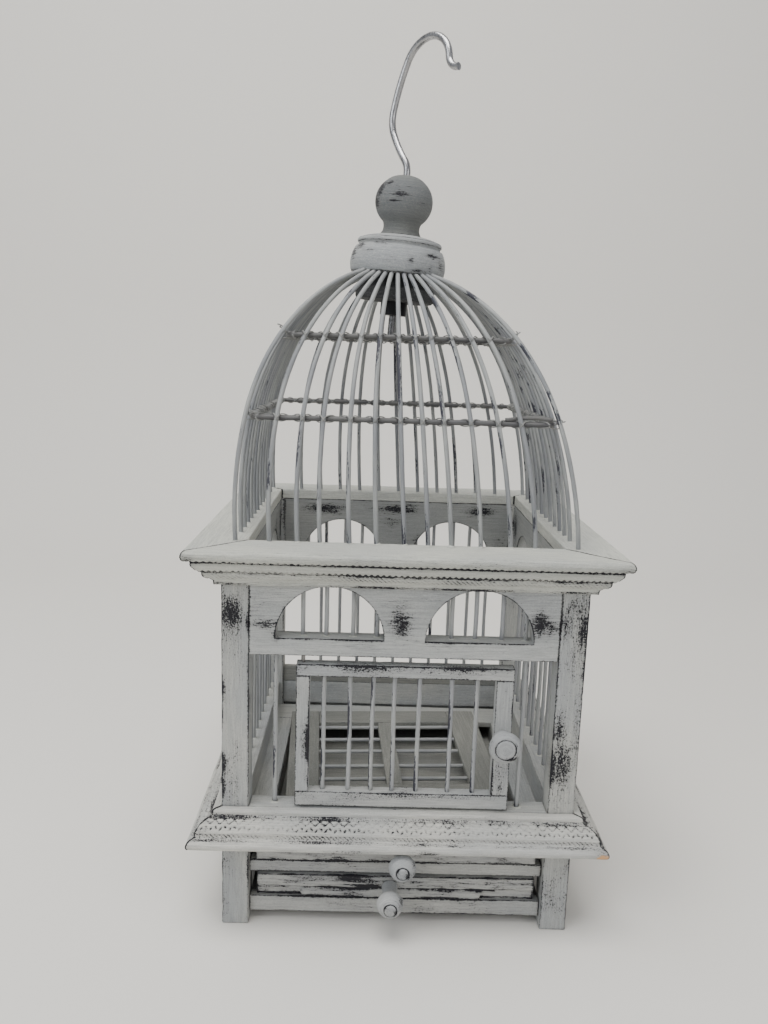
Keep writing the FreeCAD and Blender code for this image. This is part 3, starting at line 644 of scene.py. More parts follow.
def arch_rail(wall_name, turns, spots):
    node = "arch_rail_" + wall_name
    low, high = box_mm("arch_rail_front")
    x0, z0, x1, z1 = low[0], low[2], high[0], high[2]
    y0, y1 = low[1], high[1]
    sill = z0 + SILL_UP
    soft = 0.55
    plan = []
    edges = []
    rims = []
    for ring, grow in enumerate((0, soft * 0.35, soft, soft * 2.4)):
        for loop in (frame_loop(x0, x1, z0, z1, grow), arch_loop(-ARCH_X, sill, grow),
                     arch_loop(ARCH_X, sill, grow)):
            start = len(plan)
            plan.extend(loop)
            ids = list(range(start, len(plan)))
            edges.extend(zip(ids, ids[1:] + ids[:1]))
            if ring == 0:
                rims.append(ids)
    grid = 3.4
    for i in range(int((x1 - x0) / grid) + 1):
        for j in range(int((z1 - z0) / grid) + 1):
            x = x0 + (i + 0.5 + rng.uniform(-0.2, 0.2)) * grid
            z = z0 + (j + 0.5 + rng.uniform(-0.2, 0.2)) * grid
            inside = x0 + 2.6 < x < x1 - 2.6 and z0 + 2.6 < z < z1 - 2.6
            for centre in (-ARCH_X, ARCH_X):
                if z > sill - 2.6 and math.hypot(x - centre, z - sill) < ARCH_R + 2.8:
                    inside = False
                if abs(x - centre) < ARCH_R + 3 and sill - 3.4 < z < sill:
                    inside = False
            if inside:
                plan.append((x, z))
    flat, _, tris, _, _, _ = geometry.delaunay_2d_cdt([Vector(p) for p in plan], edges, [], 0, 1e-4)
    flat = np.array([tuple(p) for p in flat])
    kept = []
    for tri in tris:
        cx, cz = flat[list(tri)].mean(0)
        hole = cz > sill and any(math.hypot(cx - c, cz - sill) < ARCH_R - 0.02
                                 for c in (-ARCH_X, ARCH_X))
        if not hole:
            kept.append(tuple(tri))
    gap = np.minimum(np.minimum(flat[:, 0] - x0, x1 - flat[:, 0]),
                     np.minimum(flat[:, 1] - z0, z1 - flat[:, 1]))
    for centre in (-ARCH_X, ARCH_X):
        dx = np.abs(flat[:, 0] - centre)
        dz = flat[:, 1] - sill
        ring_gap = np.where(dz >= 0, np.hypot(dx, dz) - ARCH_R,
                            np.hypot(np.clip(dx - ARCH_R, 0, None), dz))
        gap = np.minimum(gap, np.clip(ring_gap, 0, None))
    into = soft - np.sqrt(np.clip(soft**2 - np.clip(soft - gap, 0, soft) ** 2, 0, None))
    count = len(flat)
    front = np.stack([flat[:, 0], y0 + into, flat[:, 1]], 1)
    back = np.stack([flat[:, 0], y1 - into, flat[:, 1]], 1)
    points = [front, back]
    arris = [gap, gap]
    faces = []
    for a, b, c in kept:
        p, q, r = flat[a], flat[b], flat[c]
        ccw = (q[0] - p[0]) * (r[1] - p[1]) - (q[1] - p[1]) * (r[0] - p[0]) > 0
        faces.append((a, b, c) if ccw else (a, c, b))
        faces.append((a + count, c + count, b + count) if ccw
                     else (a + count, b + count, c + count))
    depth = [soft, soft * 2.6, 5.0, 7.5, 10.0, y1 - y0 - soft * 2.6, y1 - y0 - soft]
    total = 2 * count
    for ids in rims:
        ring_ids = []
        for d in depth:
            if d in (depth[0], depth[-1]):
                ring_ids.append([i if d == depth[0] else i + count for i in ids])
                continue
            points.append(np.stack([flat[ids, 0], np.full(len(ids), y0 + d), flat[ids, 1]], 1))
            arris.append(np.full(len(ids), min(d, y1 - y0 - d)))
            ring_ids.append(list(range(total, total + len(ids))))
            total += len(ids)
        for near, far in zip(ring_ids, ring_ids[1:]):
            for i in range(len(ids)):
                j = (i + 1) % len(ids)
                faces.append((near[i], far[i], far[j], near[j]))
    points = np.concatenate(points)
    arris = np.concatenate(arris)
    seed = rng.uniform(0, 30)
    inward = np.zeros_like(points)
    inward[:, 1] = np.sign((y0 + y1) / 2 - points[:, 1])
    points = points + inward * (0.12 + uneven(points, 26, 0.16, seed))[:, None] * (arris > 0.3)[:,
        None]
    grain = points + np.array((seed * 31, seed * 5, seed * 3))
    spun = quarter(points, turns)
    # Painted shade: the inner face and the inner part of the arch edges, facing into the cage, are
    # marked to be painted darker.
    shade = np.clip((points[:, 1] - y1 + 4) / 3, 0, 1)
    piece = finish_piece(node + "_painted", spun, faces, "cage", arch_paint, node,
                         grain, arris,
                         rub_of(spun, spots), shade=shade)
    outward_faces(piece)


def outward_faces(piece):
    shape = bmesh.new()
    shape.from_mesh(piece.data)
    bmesh.ops.recalc_face_normals(shape, faces=shape.faces)
    shape.to_mesh(piece.data)
    shape.free()


arch_rubs = {
    "front": (0, [(-2, -117, 215, 7.5, 4, 10, 0.85), (-4, -117, 226, 8, 4, 6, 0.3),
                  (86, -117, 218, 6, 4, 10, 0.9),
                  (94, -117, 214, 5, 4, 7, 0.6), (-89, -117, 213, 9, 4, 3.6, 0.8),
                  (-96, -117, 218, 3, 4, 8, 0.4),
                  (-82, -114, 206, 3, 5, 6, 0.7), (-72, -117, 222, 6, 4, 9, 0.35),
                  (72, -117, 236, 9, 4, 6, 0.3),
                  (0, -117, 203, 60, 4, 1.6, 0.3), (60, -117, 252, 34, 4, 4, 0.25)]),
    "right": (1, [(117, -20, 220, 4, 9, 14, 0.55), (117, 80, 215, 4, 9, 14, 0.5),
                  (102, 90, 236, 4, 10, 14, 0.7), (102, 0, 240, 4, 20, 9, 0.4)]),
    "back": (2, [(0, 102, 249, 22, 5, 4.2, 1.0), (-64, 102, 248, 20, 5, 4.6, 1.0),
                 (74, 102, 249, 12, 5, 4.4, 1.0), (-6, 102, 238, 10, 5, 6, 0.5),
                 (20, 102, 222, 10, 5, 6, 0.5), (90, 102, 215, 8, 5, 14, 0.5),
                 (0, 117, 225, 8, 5, 12, 0.6), (-80, 117, 220, 9, 5, 14, 0.5)]),
    "left": (3, [(-117, 10, 222, 4, 9, 14, 0.55), (-102, 92, 236, 4, 9, 16, 0.9),
                 (-102, -20, 226, 4, 22, 14, 0.55), (-102, 60, 240, 4, 14, 9, 0.5)]),
}
for wall_name, (turns, spots) in arch_rubs.items():
    arch_rail(wall_name, turns, spots)

# ---------------------------------------------------------------- cornice
# Four mitred lengths make a flat shelf on top of the walls, with a carved lip, a
# toothed band and a twisted band under its edge. The shelf is worn least.
# Painted light: a lighter copy of the wall paint, standing in for the extra light on the up-facing
# shelf. The paint collars take it too.
cornice_paint = chalky_paint("chalky_paint_cornice", (0.57, 0.575, 0.52), (0.49, 0.50, 0.47),
                             wear=0.45, reach=1.0, flecks=0.3, streak=0.7)
shelf_top = min(box_mm("cornice_front")[1][2], 264.0)
rail_top = shelf_top - 8.0
edge = wall + 21.4
cove = rail_top - 17.0
inner_w = wall - 15.0
cornice_corners = [
    (inner_w, rail_top), (inner_w, shelf_top - 0.6), (inner_w + 0.6, shelf_top),
    (edge - 2.6, shelf_top),
    *round_bend((edge - 2.6, shelf_top), (edge - 0.2, rail_top + 4.4), (edge - 2.4, rail_top + 0.8),
                9),
    (edge - 2.4, rail_top + 0.8), (edge - 5.0, rail_top + 0.1), (edge - 5.6, rail_top - 2.8),
    (wall + 11.6, rail_top - 7.8), (wall + 10.4, rail_top - 8.2),
    *round_bend((wall + 10.4, rail_top - 8.2), (wall + 9.4, rail_top - 11.0),
                (wall + 6.2, cove + 4.4), 6),
    (wall + 6.2, cove + 4.4), (wall + 4.4, cove + 2.8), (wall + 4.0, cove), (wall + 0.1, cove),
    (wall + 0.1, rail_top),
]


def cornice_carving(x, w, z):
    down = shelf_top - z
    outer = (w > wall + 2).astype(float)
    waver = noise_rows(x, 0.018, 7.7)
    twist = ripple(x + 1.5 * down, 2.1, 1.0) * band(down, 1.6, 6.6, 0.8) * outer
    ticks_a = band(down, 7.6 - 1.0 * ripple(x, 4.1, 1.0, 0.25), 9.0, 0.5) * outer
    ticks_b = band(down, 15.0 - 1.3 * ripple(x, 3.7, 1.0), 16.6, 0.5) * outer
    rope = ripple(x - 1.1 * down, 2.9, 1.3) * band(down, 16.8, 20.8, 0.6) * outer
    foot = band(down, 23.4, 26.0, 0.4) * outer
    depth = 0.3 * twist + 0.5 * ticks_a + 0.6 * ticks_b + 0.45 * rope
    bare = (0.32 * twist * (0.2 + waver) + ticks_a * (0.62 + 0.4 * waver)
            + ticks_b * (0.5 + 0.5 * waver)
            + 0.6 * rope * (0.25 + waver) + 0.6 * foot * (0.3 + waver))
    return depth, bare


cornice_spots = {
    0: [(-134, -136, 257, 5, 5, 5, 0.7), (134, -136, 257, 8, 5, 5, 0.6),
        (0, -137, 264, 130, 1.6, 0.8, 0.42)],
    1: [(137, -60, 258, 4, 30, 5, 0.4), (137, 100, 250, 6, 20, 9, 0.4)],
    2: [(0, 137, 258, 60, 5, 5, 0.4), (-100, 130, 248, 20, 9, 9, 0.45)],
    3: [(-137, 0, 258, 4, 60, 5, 0.4), (-134, 90, 250, 6, 20, 9, 0.4),
        (-137, -60, 264, 1.6, 70, 0.8, 0.5)],
}
for turns, wall_name in enumerate(WALLS):
    moulding("cornice_%s_painted" % wall_name, "cornice_" + wall_name, cornice_corners, turns,
             cornice_carving, cornice_paint, step=0.75, spots=cornice_spots[turns])

# ---------------------------------------------------------------- wall bars
# Straight 3 mm wires stand in holes in the rails, glued and then painted with the
# cage, so a little paint has gathered round their feet.


def bar_paint(name, pale, cool, wear=0.45):
    """Paint on wire: thinner, greyer and more rubbed than on the wood."""
    b = Brush(name)
    grain = b.carried("grain").outputs["Vector"]
    rubbed = b.carried("rubbed").outputs["Fac"]
    hair = b.grainy(b.stretch(grain, (0.06, 0.8, 1.0)), 1.0, 4.0, 0.65, 0.3)
    crumb = b.grainy(b.stretch(grain, (0.35, 1.1, 1.0), (20, 4, 6)), 1.0, 4.0, 0.65, 0.3)
    cloud = b.grainy(b.stretch(grain, (0.02, 0.05, 1.0), (7, 5, 1)), 1.0, 2.0, 0.5)
    total = b.math("ADD", b.math("ADD", b.math("MULTIPLY", hair, 0.5),
                                 b.math("MULTIPLY", crumb, 0.5)),
                   b.math("MULTIPLY", rubbed, 0.5))
    gone = b.spread(total, 0.80 - 0.22 * wear, 0.88 - 0.22 * wear)
    paint = b.blend(b.spread(cloud, 0.35, 0.65), (*pale, 1), (*cool, 1))
    paint = b.blend(b.spread(hair, 0.35, 0.65, 0.0, 0.5), paint, (*[c * 0.7 for c in cool], 1))
    colour = b.blend(gone, paint, (0.035, 0.036, 0.05, 1))
    b.put(colour, b.shader.inputs["Base Color"])
    b.shader.inputs["Roughness"].default_value = 0.55
    b.shader.inputs["Specular IOR Level"].default_value = 0.4
    height = b.math("ADD", b.math("MULTIPLY", b.math("SUBTRACT", 1.0, gone), 0.10),
                    b.math("MULTIPLY", crumb, 0.2))
    b.raised(height, 0.6)
    return b.material


def smooth_path(points, step=3.0, closed=False):
    """Points of a smooth curve through the given ones, about one step apart."""
    points = [np.array(p, float) for p in points]
    count = len(points)
    made = []
    spans = count if closed else count - 1
    for i in range(spans):
        p1, p2 = points[i % count], points[(i + 1) % count]
        p0 = points[(i - 1) % count] if closed or i > 0 else 2 * p1 - p2
        p3 = points[(i + 2) % count] if closed or i + 2 < count else 2 * p2 - p1
        parts = max(1, int(math.ceil(np.linalg.norm(p2 - p1) / step)))
        for j in range(parts):
            t = j / parts
            made.append(0.5 * (2 * p1 + (p2 - p0) * t + (2 * p0 - 5 * p1 + 4 * p2 - p3) * t**2
                               + (3 * p1 - p0 - 3 * p2 + p3) * t**3))
    if not closed:
        made.append(points[-1])
    return np.array(made)


def wires(name, paths, thickness, body, paint, stands_for=(), sides=10, rough=0.06,
          closed=False, rub=None,
          capped=True):
    """Round wires along the paths (mm), as one piece. thickness is one size or one per path."""
    all_points = []
    all_faces = []
    grains = []
    rubs = []
    base = 0
    for number, path in enumerate(paths):
        path = np.asarray(path, float)
        size = thickness[number] if isinstance(thickness, (list, tuple)) else thickness
        n = len(path)
        ahead_path = np.roll(path, -1, 0)
        behind_path = np.roll(path, 1, 0)
        if not closed:
            ahead_path[-1] = path[-1]
            behind_path[0] = path[0]
        tangent = ahead_path - behind_path
        tangent /= np.maximum(np.linalg.norm(tangent, axis=1, keepdims=True), 1e-9)
        first = np.cross(tangent[0], (0.13, 0.21, 0.97) if abs(tangent[0][2]) < 0.9 else (1, 0, 0))
        normal = first / np.linalg.norm(first)
        run = 0.0
        for i in range(n):
            normal = normal - tangent[i] * np.dot(normal, tangent[i])
            normal /= np.linalg.norm(normal)
            across = np.cross(tangent[i], normal)
            if i:
                run += np.linalg.norm(path[i] - path[i - 1])
            for k in range(sides):
                turn = 2 * math.pi * k / sides
                out = normal * math.cos(turn) + across * math.sin(turn)
                lump = 1.0 + rough * noise.noise(Vector((run * 0.12, number * 5.3 + math.cos(turn),
                    math.sin(turn) * 1.2)))
                all_points.append(path[i] + out * (size / 2) * lump)
                grains.append((run + number * 61.0, turn * size / 2, number * 3.1 + 0.5 * size))
                rubs.append(0.0 if rub is None else rub(path[i], out, number))
        rings = n if closed else n - 1
        for i in range(rings):
            j = (i + 1) % n
            for k in range(sides):
                m = (k + 1) % sides
                all_faces.append((base + i * sides + k, base + i * sides + m, base + j * sides + m,
                                  base + j * sides + k))
        if not closed and capped:
            all_faces.append(tuple(base + k for k in range(sides))[::-1])
            all_faces.append(tuple(base + (n - 1) * sides + k for k in range(sides)))
        base += n * sides
    return finish_piece(name, all_points, all_faces, body, paint, stands_for, grains, None,
                        rubs)


def node_lines(node, levels):
    """The centre line of each separate bar in a CAD node, cut at the given heights or steps."""
    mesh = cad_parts[node].data
    count = len(mesh.vertices)
    points = np.zeros(count * 3)
    mesh.vertices.foreach_get("co", points)
    points = points.reshape(-1, 3) / MM
    edges = np.zeros(len(mesh.edges) * 2, int)
    mesh.edges.foreach_get("vertices", edges)
    edges = edges.reshape(-1, 2)
    key = np.round(points, 3)
    _, same = np.unique(key, axis=0, return_inverse=True)
    same = same.ravel()
    links = same[edges]
    group = np.arange(same.max() + 1)
    while True:
        low_side = np.minimum(group[links[:, 0]], group[links[:, 1]])
        before = group.copy()
        np.minimum.at(group, links[:, 0], low_side)
        np.minimum.at(group, links[:, 1], low_side)
        group = group[group]
        if (group == before).all():
            break
    lines = []
    point_group = group[same]
    for g in np.unique(point_group):
        own = points[point_group == g]
        own_edges = edges[point_group[edges[:, 0]] == g]
        a, b = points[own_edges[:, 0]], points[own_edges[:, 1]]
        low_z, high_z = own[:, 2].min(), own[:, 2].max()
        line = []
        for level in levels(low_z, high_z):
            cross = (a[:, 2] - level) * (b[:, 2] - level) < 0
            if cross.sum() < 3:
                continue
            share = ((level - a[cross, 2]) / (b[cross, 2] - a[cross, 2]))[:, None]
            hits = a[cross] + (b[cross] - a[cross]) * share
            line.append((hits.min(0) + hits.max(0)) / 2)
        lines.append(np.array(line))
    return lines


def even_levels(step):
    def levels(low_z, high_z):
        return np.linspace(low_z + 0.02, high_z - 0.02, max(3, int((high_z - low_z) / step)))
    return levels


wall_wire = bar_paint("wall_bar_paint", (0.40, 0.41, 0.40), (0.33, 0.34, 0.355), 0.55)


def side_rub(path_point, out, number):
    """Wire is rubbed most on one side, and in a few places along its length."""
    place = noise.noise(Vector((path_point[2] * 0.03, number * 3.7, path_point[0] * 0.2)))
    return max(0.0, 0.22 * -out[0] + 0.8 * place)


def wander(line, amount, seed):
    """Gives a straight bar the slight bends of hand-cut wire."""
    line = np.array(line)
    for i, p in enumerate(line):
        share = math.sin(math.pi * i / (len(line) - 1))
        line[i][0] += amount * share * noise.noise(Vector((p[2] * 0.009, seed, 1.3)))
        line[i][1] += amount * share * noise.noise(Vector((p[2] * 0.009, seed, 8.3)))
    return line


bar_feet = []
for node in ("bars_left", "bars_right", "bars_back", "arch_bars_front", "door_side_bars"):
    lines = [wander(line, 0.9, rng.uniform(0, 99)) for line in node_lines(node, even_levels(9.0))]
    wires(node + "_painted", lines, 3.0, "cage", wall_wire, node, rub=side_rub)
    for line in lines:
        foot_z = base_top if line[0][2] < base_top else base_top + 105.4 + SILL_UP
        bar_feet.append((line[0][0], line[0][1], foot_z, 4.6 if node == "door_side_bars" else 3.0))

# ---------------------------------------------------------------- dome bars
# Wires bent over a former leave the cornice upright and gather in a ring under the
# cap. They carry a thin grey coat, rubbed along their outer sides.
dome_wire = bar_paint("dome_bar_paint", (0.34, 0.35, 0.345), (0.24, 0.25, 0.265), 0.5)
dome_lines = {}
for side in WALLS:
    node = "dome_bars_" + side
    lines = node_lines(node, even_levels(4.0))
    dome_lines[side] = lines
    wires(node + "_painted", lines, 3.05, "cage", dome_wire, node, sides=12,
          rub=side_rub)
    for line in lines:
        bar_feet.append((line[1][0], line[1][1], shelf_top, 3.0))

# ---------------------------------------------------------------- paint round the bars' feet
# Glue and paint have set in small uneven collars where each bar enters the wood.
collars = []
collar_faces = []
for x, y, z, size in bar_feet:
    start = len(collars)
    wide = rng.uniform(0.7, 1.7)
    tall = rng.uniform(0.4, 1.1) * (size / 3) ** 1.5
    lean = rng.uniform(0, 6.28)
    for ring, (r, h) in enumerate(((1.0, -0.15), (0.8, 0.10), (0.45, 0.5), (0.12, 0.95),
                                   (0.0, 1.0))):
        for k in range(14):
            turn = 2 * math.pi * k / 14
            spread_out = 1 + 0.45 * noise.noise(Vector((math.cos(turn) * 1.1, math.sin(turn) * 1.1,
                                                        x * 0.7 + y)))
            spread_out += 0.25 * math.cos(turn - lean)
            radius = size / 2 - 0.1 + wide * r * spread_out
            collars.append((x + radius * math.cos(turn), y + radius * math.sin(turn),
                            z + tall * h * (0.8 + 0.3 * math.cos(turn - lean))))
    for ring in range(4):
        for k in range(14):
            m = (k + 1) % 14
            collar_faces.append((start + ring * 14 + k, start + ring * 14 + m,
                                 start + (ring + 1) * 14 + m, start + (ring + 1) * 14 + k))
finish_piece("paint_collars", collars, collar_faces, "cage", cornice_paint)

# ---------------------------------------------------------------- hoops and their bindings
# Two square wire hoops lie inside the dome bars. A thin wire is wound round hoop and
# bars in turn, crossing over every bar, and ends in a twist at the corners.
hoop_wire = bar_paint("hoop_paint", (0.15, 0.15, 0.145), (0.10, 0.10, 0.105), 0.6)
bind_wire = bar_paint("binding_paint", (0.33, 0.33, 0.315), (0.19, 0.195, 0.195), 0.5)
HOOP_D = 4.0
BIND_D = 0.85


def hoop_frame(node):
    low, high = box_mm(node)
    centre = (low + high) / 2
    half = (high - low) / 2 - HOOP_D / 2
    return centre, half


def hoop_line(node, r=4.0):
    centre, half = hoop_frame(node)
    line = []
    corners = ((1, 1, 0), (-1, 1, 90), (-1, -1, 180), (1, -1, 270))
    for sx, sy, start in corners:
        cx = centre[0] + sx * (half[0] - r)
        cy = centre[1] + sy * (half[1] - r)
        for i in range(7):
            turn = math.radians(start + 90 * i / 6)
            line.append((cx + r * math.cos(turn), cy + r * math.sin(turn), centre[2]))
        nxt = {0: (-1, 1), 90: (-1, -1), 180: (1, -1), 270: (1, 1)}[start]
        turn = math.radians(start + 90)
        end = np.array(line[-1])
        goal = np.array((centre[0] + nxt[0] * (half[0] - r) + r * math.cos(turn),
                         centre[1] + nxt[1] * (half[1] - r) + r * math.sin(turn), centre[2]))
        parts = int(np.linalg.norm(goal - end) / 6)
        for i in range(1, parts):
            line.append(tuple(end + (goal - end) * i / parts))
    line = np.array(line)
    for i, p in enumerate(line):
        line[i][2] += 0.35 * noise.noise(Vector((p[0] * 0.03, p[1] * 0.03, p[2])))
    return line


for node in ("lower_hoop", "upper_hoop"):
    wires(node + "_painted", [hoop_line(node)], HOOP_D * 0.86, "cage", hoop_wire,
          node, sides=14, closed=True, rough=0.09)


def crossing(lines, level):
    """Where each bar passes a level."""
    found = []
    for line in lines:
        i = int(np.searchsorted(line[:, 2], level))
        i = min(max(i, 1), len(line) - 1)
        share = (level - line[i - 1][2]) / (line[i][2] - line[i - 1][2])
        found.append(line[i - 1] + (line[i] - line[i - 1]) * share)
    return found


def binding_paths(node):
    centre, half = hoop_frame(node)
    level = centre[2]
    paths = []
    for turns, side in enumerate(WALLS):
        sideways = half[0] if side in ("front", "back") else half[1]
        away = half[1] if side in ("front", "back") else half[0]
        local = []
        for p in crossing(dome_lines[side], level):
            q = quarter(np.array([[p[0] - centre[0], p[1] - centre[1], 0]]), -turns)[0]
            if abs(q[0]) < sideways - 1.5:
                local.append((q[0], -q[1] - away))
        local.sort()
        stops = [(-sideways + 3, 3.6)] + local + [(sideways - 3, 3.6)]
        tight = HOOP_D * 0.43 + BIND_D / 2 - 0.05
        winds = 1 if side in ("front", "back") else 3
        for hand in (-1, 1):
            path = []
            for (s0, n0), (s1, n1) in zip(stops, stops[1:]):
                parts = max(8 * winds, int((s1 - s0) / 0.5))
                wob = rng.uniform(-0.5, 0.5)
                for i in range(parts):
                    t = i / parts
                    s = s0 + (s1 - s0) * t
                    phi = 2 * math.pi * winds * (t + 0.08 * wob * math.sin(2 * math.pi * t))
                    over = sum(max(0.0, n + 1.5 + BIND_D / 2 - tight)
                               * math.exp(-(((s - sn) / 1.7) ** 4))
                               for sn, n in ((s0, n0), (s1, n1)))
                    out = tight * math.cos(phi) + over
                    up = hand * (tight * math.sin(phi)
                                 + 0.55 * math.exp(-(((s - s0) / 2.2) ** 2)) * (s - s0)
                                 + 0.55 * math.exp(-(((s - s1) / 2.2) ** 2)) * (s - s1))
                    path.append((s, -(away + out), up))
            path = quarter(np.array(path), turns) + centre
            paths.append(smooth_path(path[::2], 0.9))
    # twisted ends left standing at the corners
    for sx, sy in ((1, -1), (-1, -1), (1, 1)):
        at = centre + (sx * (half[0] + 0.8), sy * (half[1] + 0.8), 0.6)
        way = np.array((sx * rng.uniform(0.3, 0.8), sy * rng.uniform(0.1, 0.5),
                        rng.uniform(0.4, 1.0)))
        for strand in (0, math.pi):
            tail = []
            for i in range(22):
                t = i / 21
                turn = strand + 9 * t
                curl = 1.0 + (1.6 * t * t if t > 0.6 else 0)
                tail.append(at + way * 6 * t
                            + np.array((math.cos(turn), math.sin(turn), 0.4 * math.sin(turn)))
                            * 0.5 * curl)
            paths.append(np.array(tail))
    return paths


for node in ("lower_hoop", "upper_hoop"):
    stands = "hoop_bindings" if node == "lower_hoop" else ()
    wires(node + "_binding", binding_paths(node), BIND_D, "cage", bind_wire, stands,
          sides=6, rough=0.12)

centre, half = hoop_frame("lower_hoop")
tail_y = centre[1] - half[1]
tail = [(centre[0] + half[0] - 31, tail_y, centre[2] + 2.6),
        (centre[0] + half[0] - 14, tail_y, centre[2] + 4.4),
        (centre[0] + half[0] - 1, tail_y - 0.6, centre[2] + 3.4)]
wires("lower_hoop_lap", [smooth_path(tail, 2)], 2.6, "cage", hoop_wire, sides=10)

# ---------------------------------------------------------------- crown: cap, plug and finial
# A turned wooden cap with a groove underneath takes the ends of the dome bars. A
# tapered plug sits under it and a round finial on top, all on the hook's shank.
CROWN_TILT = math.radians(4.0)
CROWN = np.array((-10.2, 0.0, 439.0))


def on_crown(points):
    points = np.asarray(points, float)
    x = points[:, 0] * math.cos(CROWN_TILT) + points[:, 2] * math.sin(CROWN_TILT)
    z = -points[:, 0] * math.sin(CROWN_TILT) + points[:, 2] * math.cos(CROWN_TILT)
    return np.stack([x, points[:, 1], z], 1) + CROWN


def lathe(corners, step=0.9, sides=96, wobble=0.15, seed=1.0):
    """A turned shape about Z: points, faces, grain and arris distance, in mm.

    A corner may carry a third value, True where the turner left a sharp arris.
    """
    profile = profile_steps([c[:2] for c in corners], step)
    sharp = np.array([c[:2] for c in corners if len(c) > 2]) if any(len(c) > 2
        for c in corners) else None
    n = len(profile)
    turn = np.linspace(0, 2 * math.pi, sides, endpoint=False)
    r = profile[:, 0][:, None] * np.ones(sides)
    z = profile[:, 1][:, None] * np.ones(sides)
    x, y = r * np.cos(turn), r * np.sin(turn)
    points = np.stack([x, y, z], 2).reshape(-1, 3)
    shift = uneven(points, 16.0, wobble, seed)
    length = np.maximum(np.hypot(points[:, 0], points[:, 1]), 1e-6)
    pull = (shift - wobble * 0.5) * np.clip(length / 4, 0, 1)
    points[:, 0] += points[:, 0] / length * pull
    points[:, 1] += points[:, 1] / length * pull
    faces = []
    for i in range(n - 1):
        for k in range(sides):
            m = (k + 1) % sides
            faces.append((i * sides + k, i * sides + m, (i + 1) * sides + m, (i + 1) * sides + k))
    run = np.concatenate([[0], np.cumsum(np.linalg.norm(np.diff(profile, axis=0), axis=1))])
    grain = np.stack([(turn[None, :] * np.maximum(r, 8)), run[:, None] * np.ones(sides),
                      np.full_like(r, seed * 11)], 2).reshape(-1, 3)
    if sharp is None:
        arris = np.full(len(points), 9.0)
    else:
        gaps = np.sqrt(((profile[:, None, :] - sharp[None]) ** 2).sum(2)).min(1)
        arris = (gaps[:, None] * np.ones(sides)).ravel()
    return points, faces, grain, arris


turned_paint = chalky_paint("chalky_paint_turnings", (0.40, 0.41, 0.405), (0.33, 0.345, 0.355),
                            wear=0.5, reach=0.9, flecks=0.35, streak=0.85)
dark_inside = chalky_paint("dark_under_cap", (0.075, 0.078, 0.08), (0.05, 0.052, 0.056), wear=0.3,
                           flecks=0.6)
CAP_R = 34.3
CAP_H = 27.0
cap_corners = [
    (2.8, 0.0), (21.0, 0.0), (21.0, 5.5), (31.2, 5.5), (31.2, 0.0), (CAP_R - 1.2, 0.0, True),
    *round_bend((CAP_R - 0.9, 0.3), (CAP_R, CAP_H * 0.30), (CAP_R - 3.1, CAP_H * 0.66), 16),
    (CAP_R - 3.1, CAP_H * 0.66), (CAP_R - 4.6, CAP_H * 0.685), (CAP_R - 5.0, CAP_H * 0.72),
    (CAP_R - 5.0, CAP_H * 0.745),
    (CAP_R - 4.3, CAP_H * 0.765, True),
    *round_bend((CAP_R - 4.3, CAP_H * 0.765), (CAP_R - 4.0, CAP_H * 0.81),
                (CAP_R - 4.9, CAP_H * 0.87), 5),
    (CAP_R - 4.9, CAP_H * 0.87, True),
    *round_bend((CAP_R - 4.9, CAP_H * 0.87), (CAP_R * 0.62, CAP_H * 0.965), (CAP_R * 0.40, CAP_H),
                10),
    (CAP_R * 0.40, CAP_H), (2.8, CAP_H),
]
cap_spots = [
    (-29, -17, 17, 6, 7, 3.4, 0.95), (-31, -10, 12, 3, 6, 6, 0.8),
    (-18, -28, 18.6, 11, 6, 1.2, 0.8), (8, -33, 8, 1.3, 5, 3.6, 1.0),
    (-22, -26, 13, 7, 6, 0.8, 0.75),
    (24, -24, 13, 9, 8, 1.8, 0.9), (14, -31, 2.0, 8, 6, 1.6, 0.75), (29, -16, 8, 4, 6, 4, 0.6),
    (22, -26, 5, 2, 6, 4, 0.5), (-6, -33, 9, 3, 5, 3, 0.3),
    (28, 18, 12, 7, 8, 4, 0.6), (-14, 30, 10, 9, 6, 3, 0.6), (0, 0, 23.5, 31, 31, 0.6, 0.35),
]
points, faces, grain, arris = lathe(cap_corners, seed=2.2)
finish_piece("cap_painted", on_crown(points), faces, "cage", turned_paint,
             "cap_collar", grain, arris, rub_of(points, cap_spots))

plug_corners = [
    (2.8, -0.2), (19.5, -0.2), (28.5, -10.2), (28.5, -16.0),
    *round_bend((28.5, -16.0), (27.7, -17.8), (26.0, -18.5), 4),
    (26.0, -18.5), (2.8, -18.5),
]
points, faces, grain, arris = lathe(plug_corners, seed=5.4)
finish_piece("cap_plug_painted", on_crown(points), faces, "cage", dark_inside,
             "cap_plug", grain, arris)

BALL_R = 20.6
BALL_H = 41.0
ball_low = CAP_H + 0.05
neck = BALL_R * 0.63
finial_corners = [
    (2.8, ball_low), (BALL_R * 0.75, ball_low, True),
    *round_bend((BALL_R * 0.75, ball_low), (neck, ball_low + BALL_H * 0.14),
                (BALL_R * 0.68, ball_low + BALL_H * 0.235), 8),
    (BALL_R * 0.68, ball_low + BALL_H * 0.235),
    *round_bend((BALL_R * 0.68, ball_low + BALL_H * 0.235), (BALL_R, ball_low + BALL_H * 0.57),
                (BALL_R * 0.70, ball_low + BALL_H * 0.89), 22),
    (BALL_R * 0.70, ball_low + BALL_H * 0.89),
    *round_bend((BALL_R * 0.70, ball_low + BALL_H * 0.89),
                (BALL_R * 0.46, ball_low + BALL_H * 0.972), (BALL_R * 0.18, ball_low + BALL_H), 6),
    (BALL_R * 0.18, ball_low + BALL_H), (2.8, ball_low + BALL_H),
]
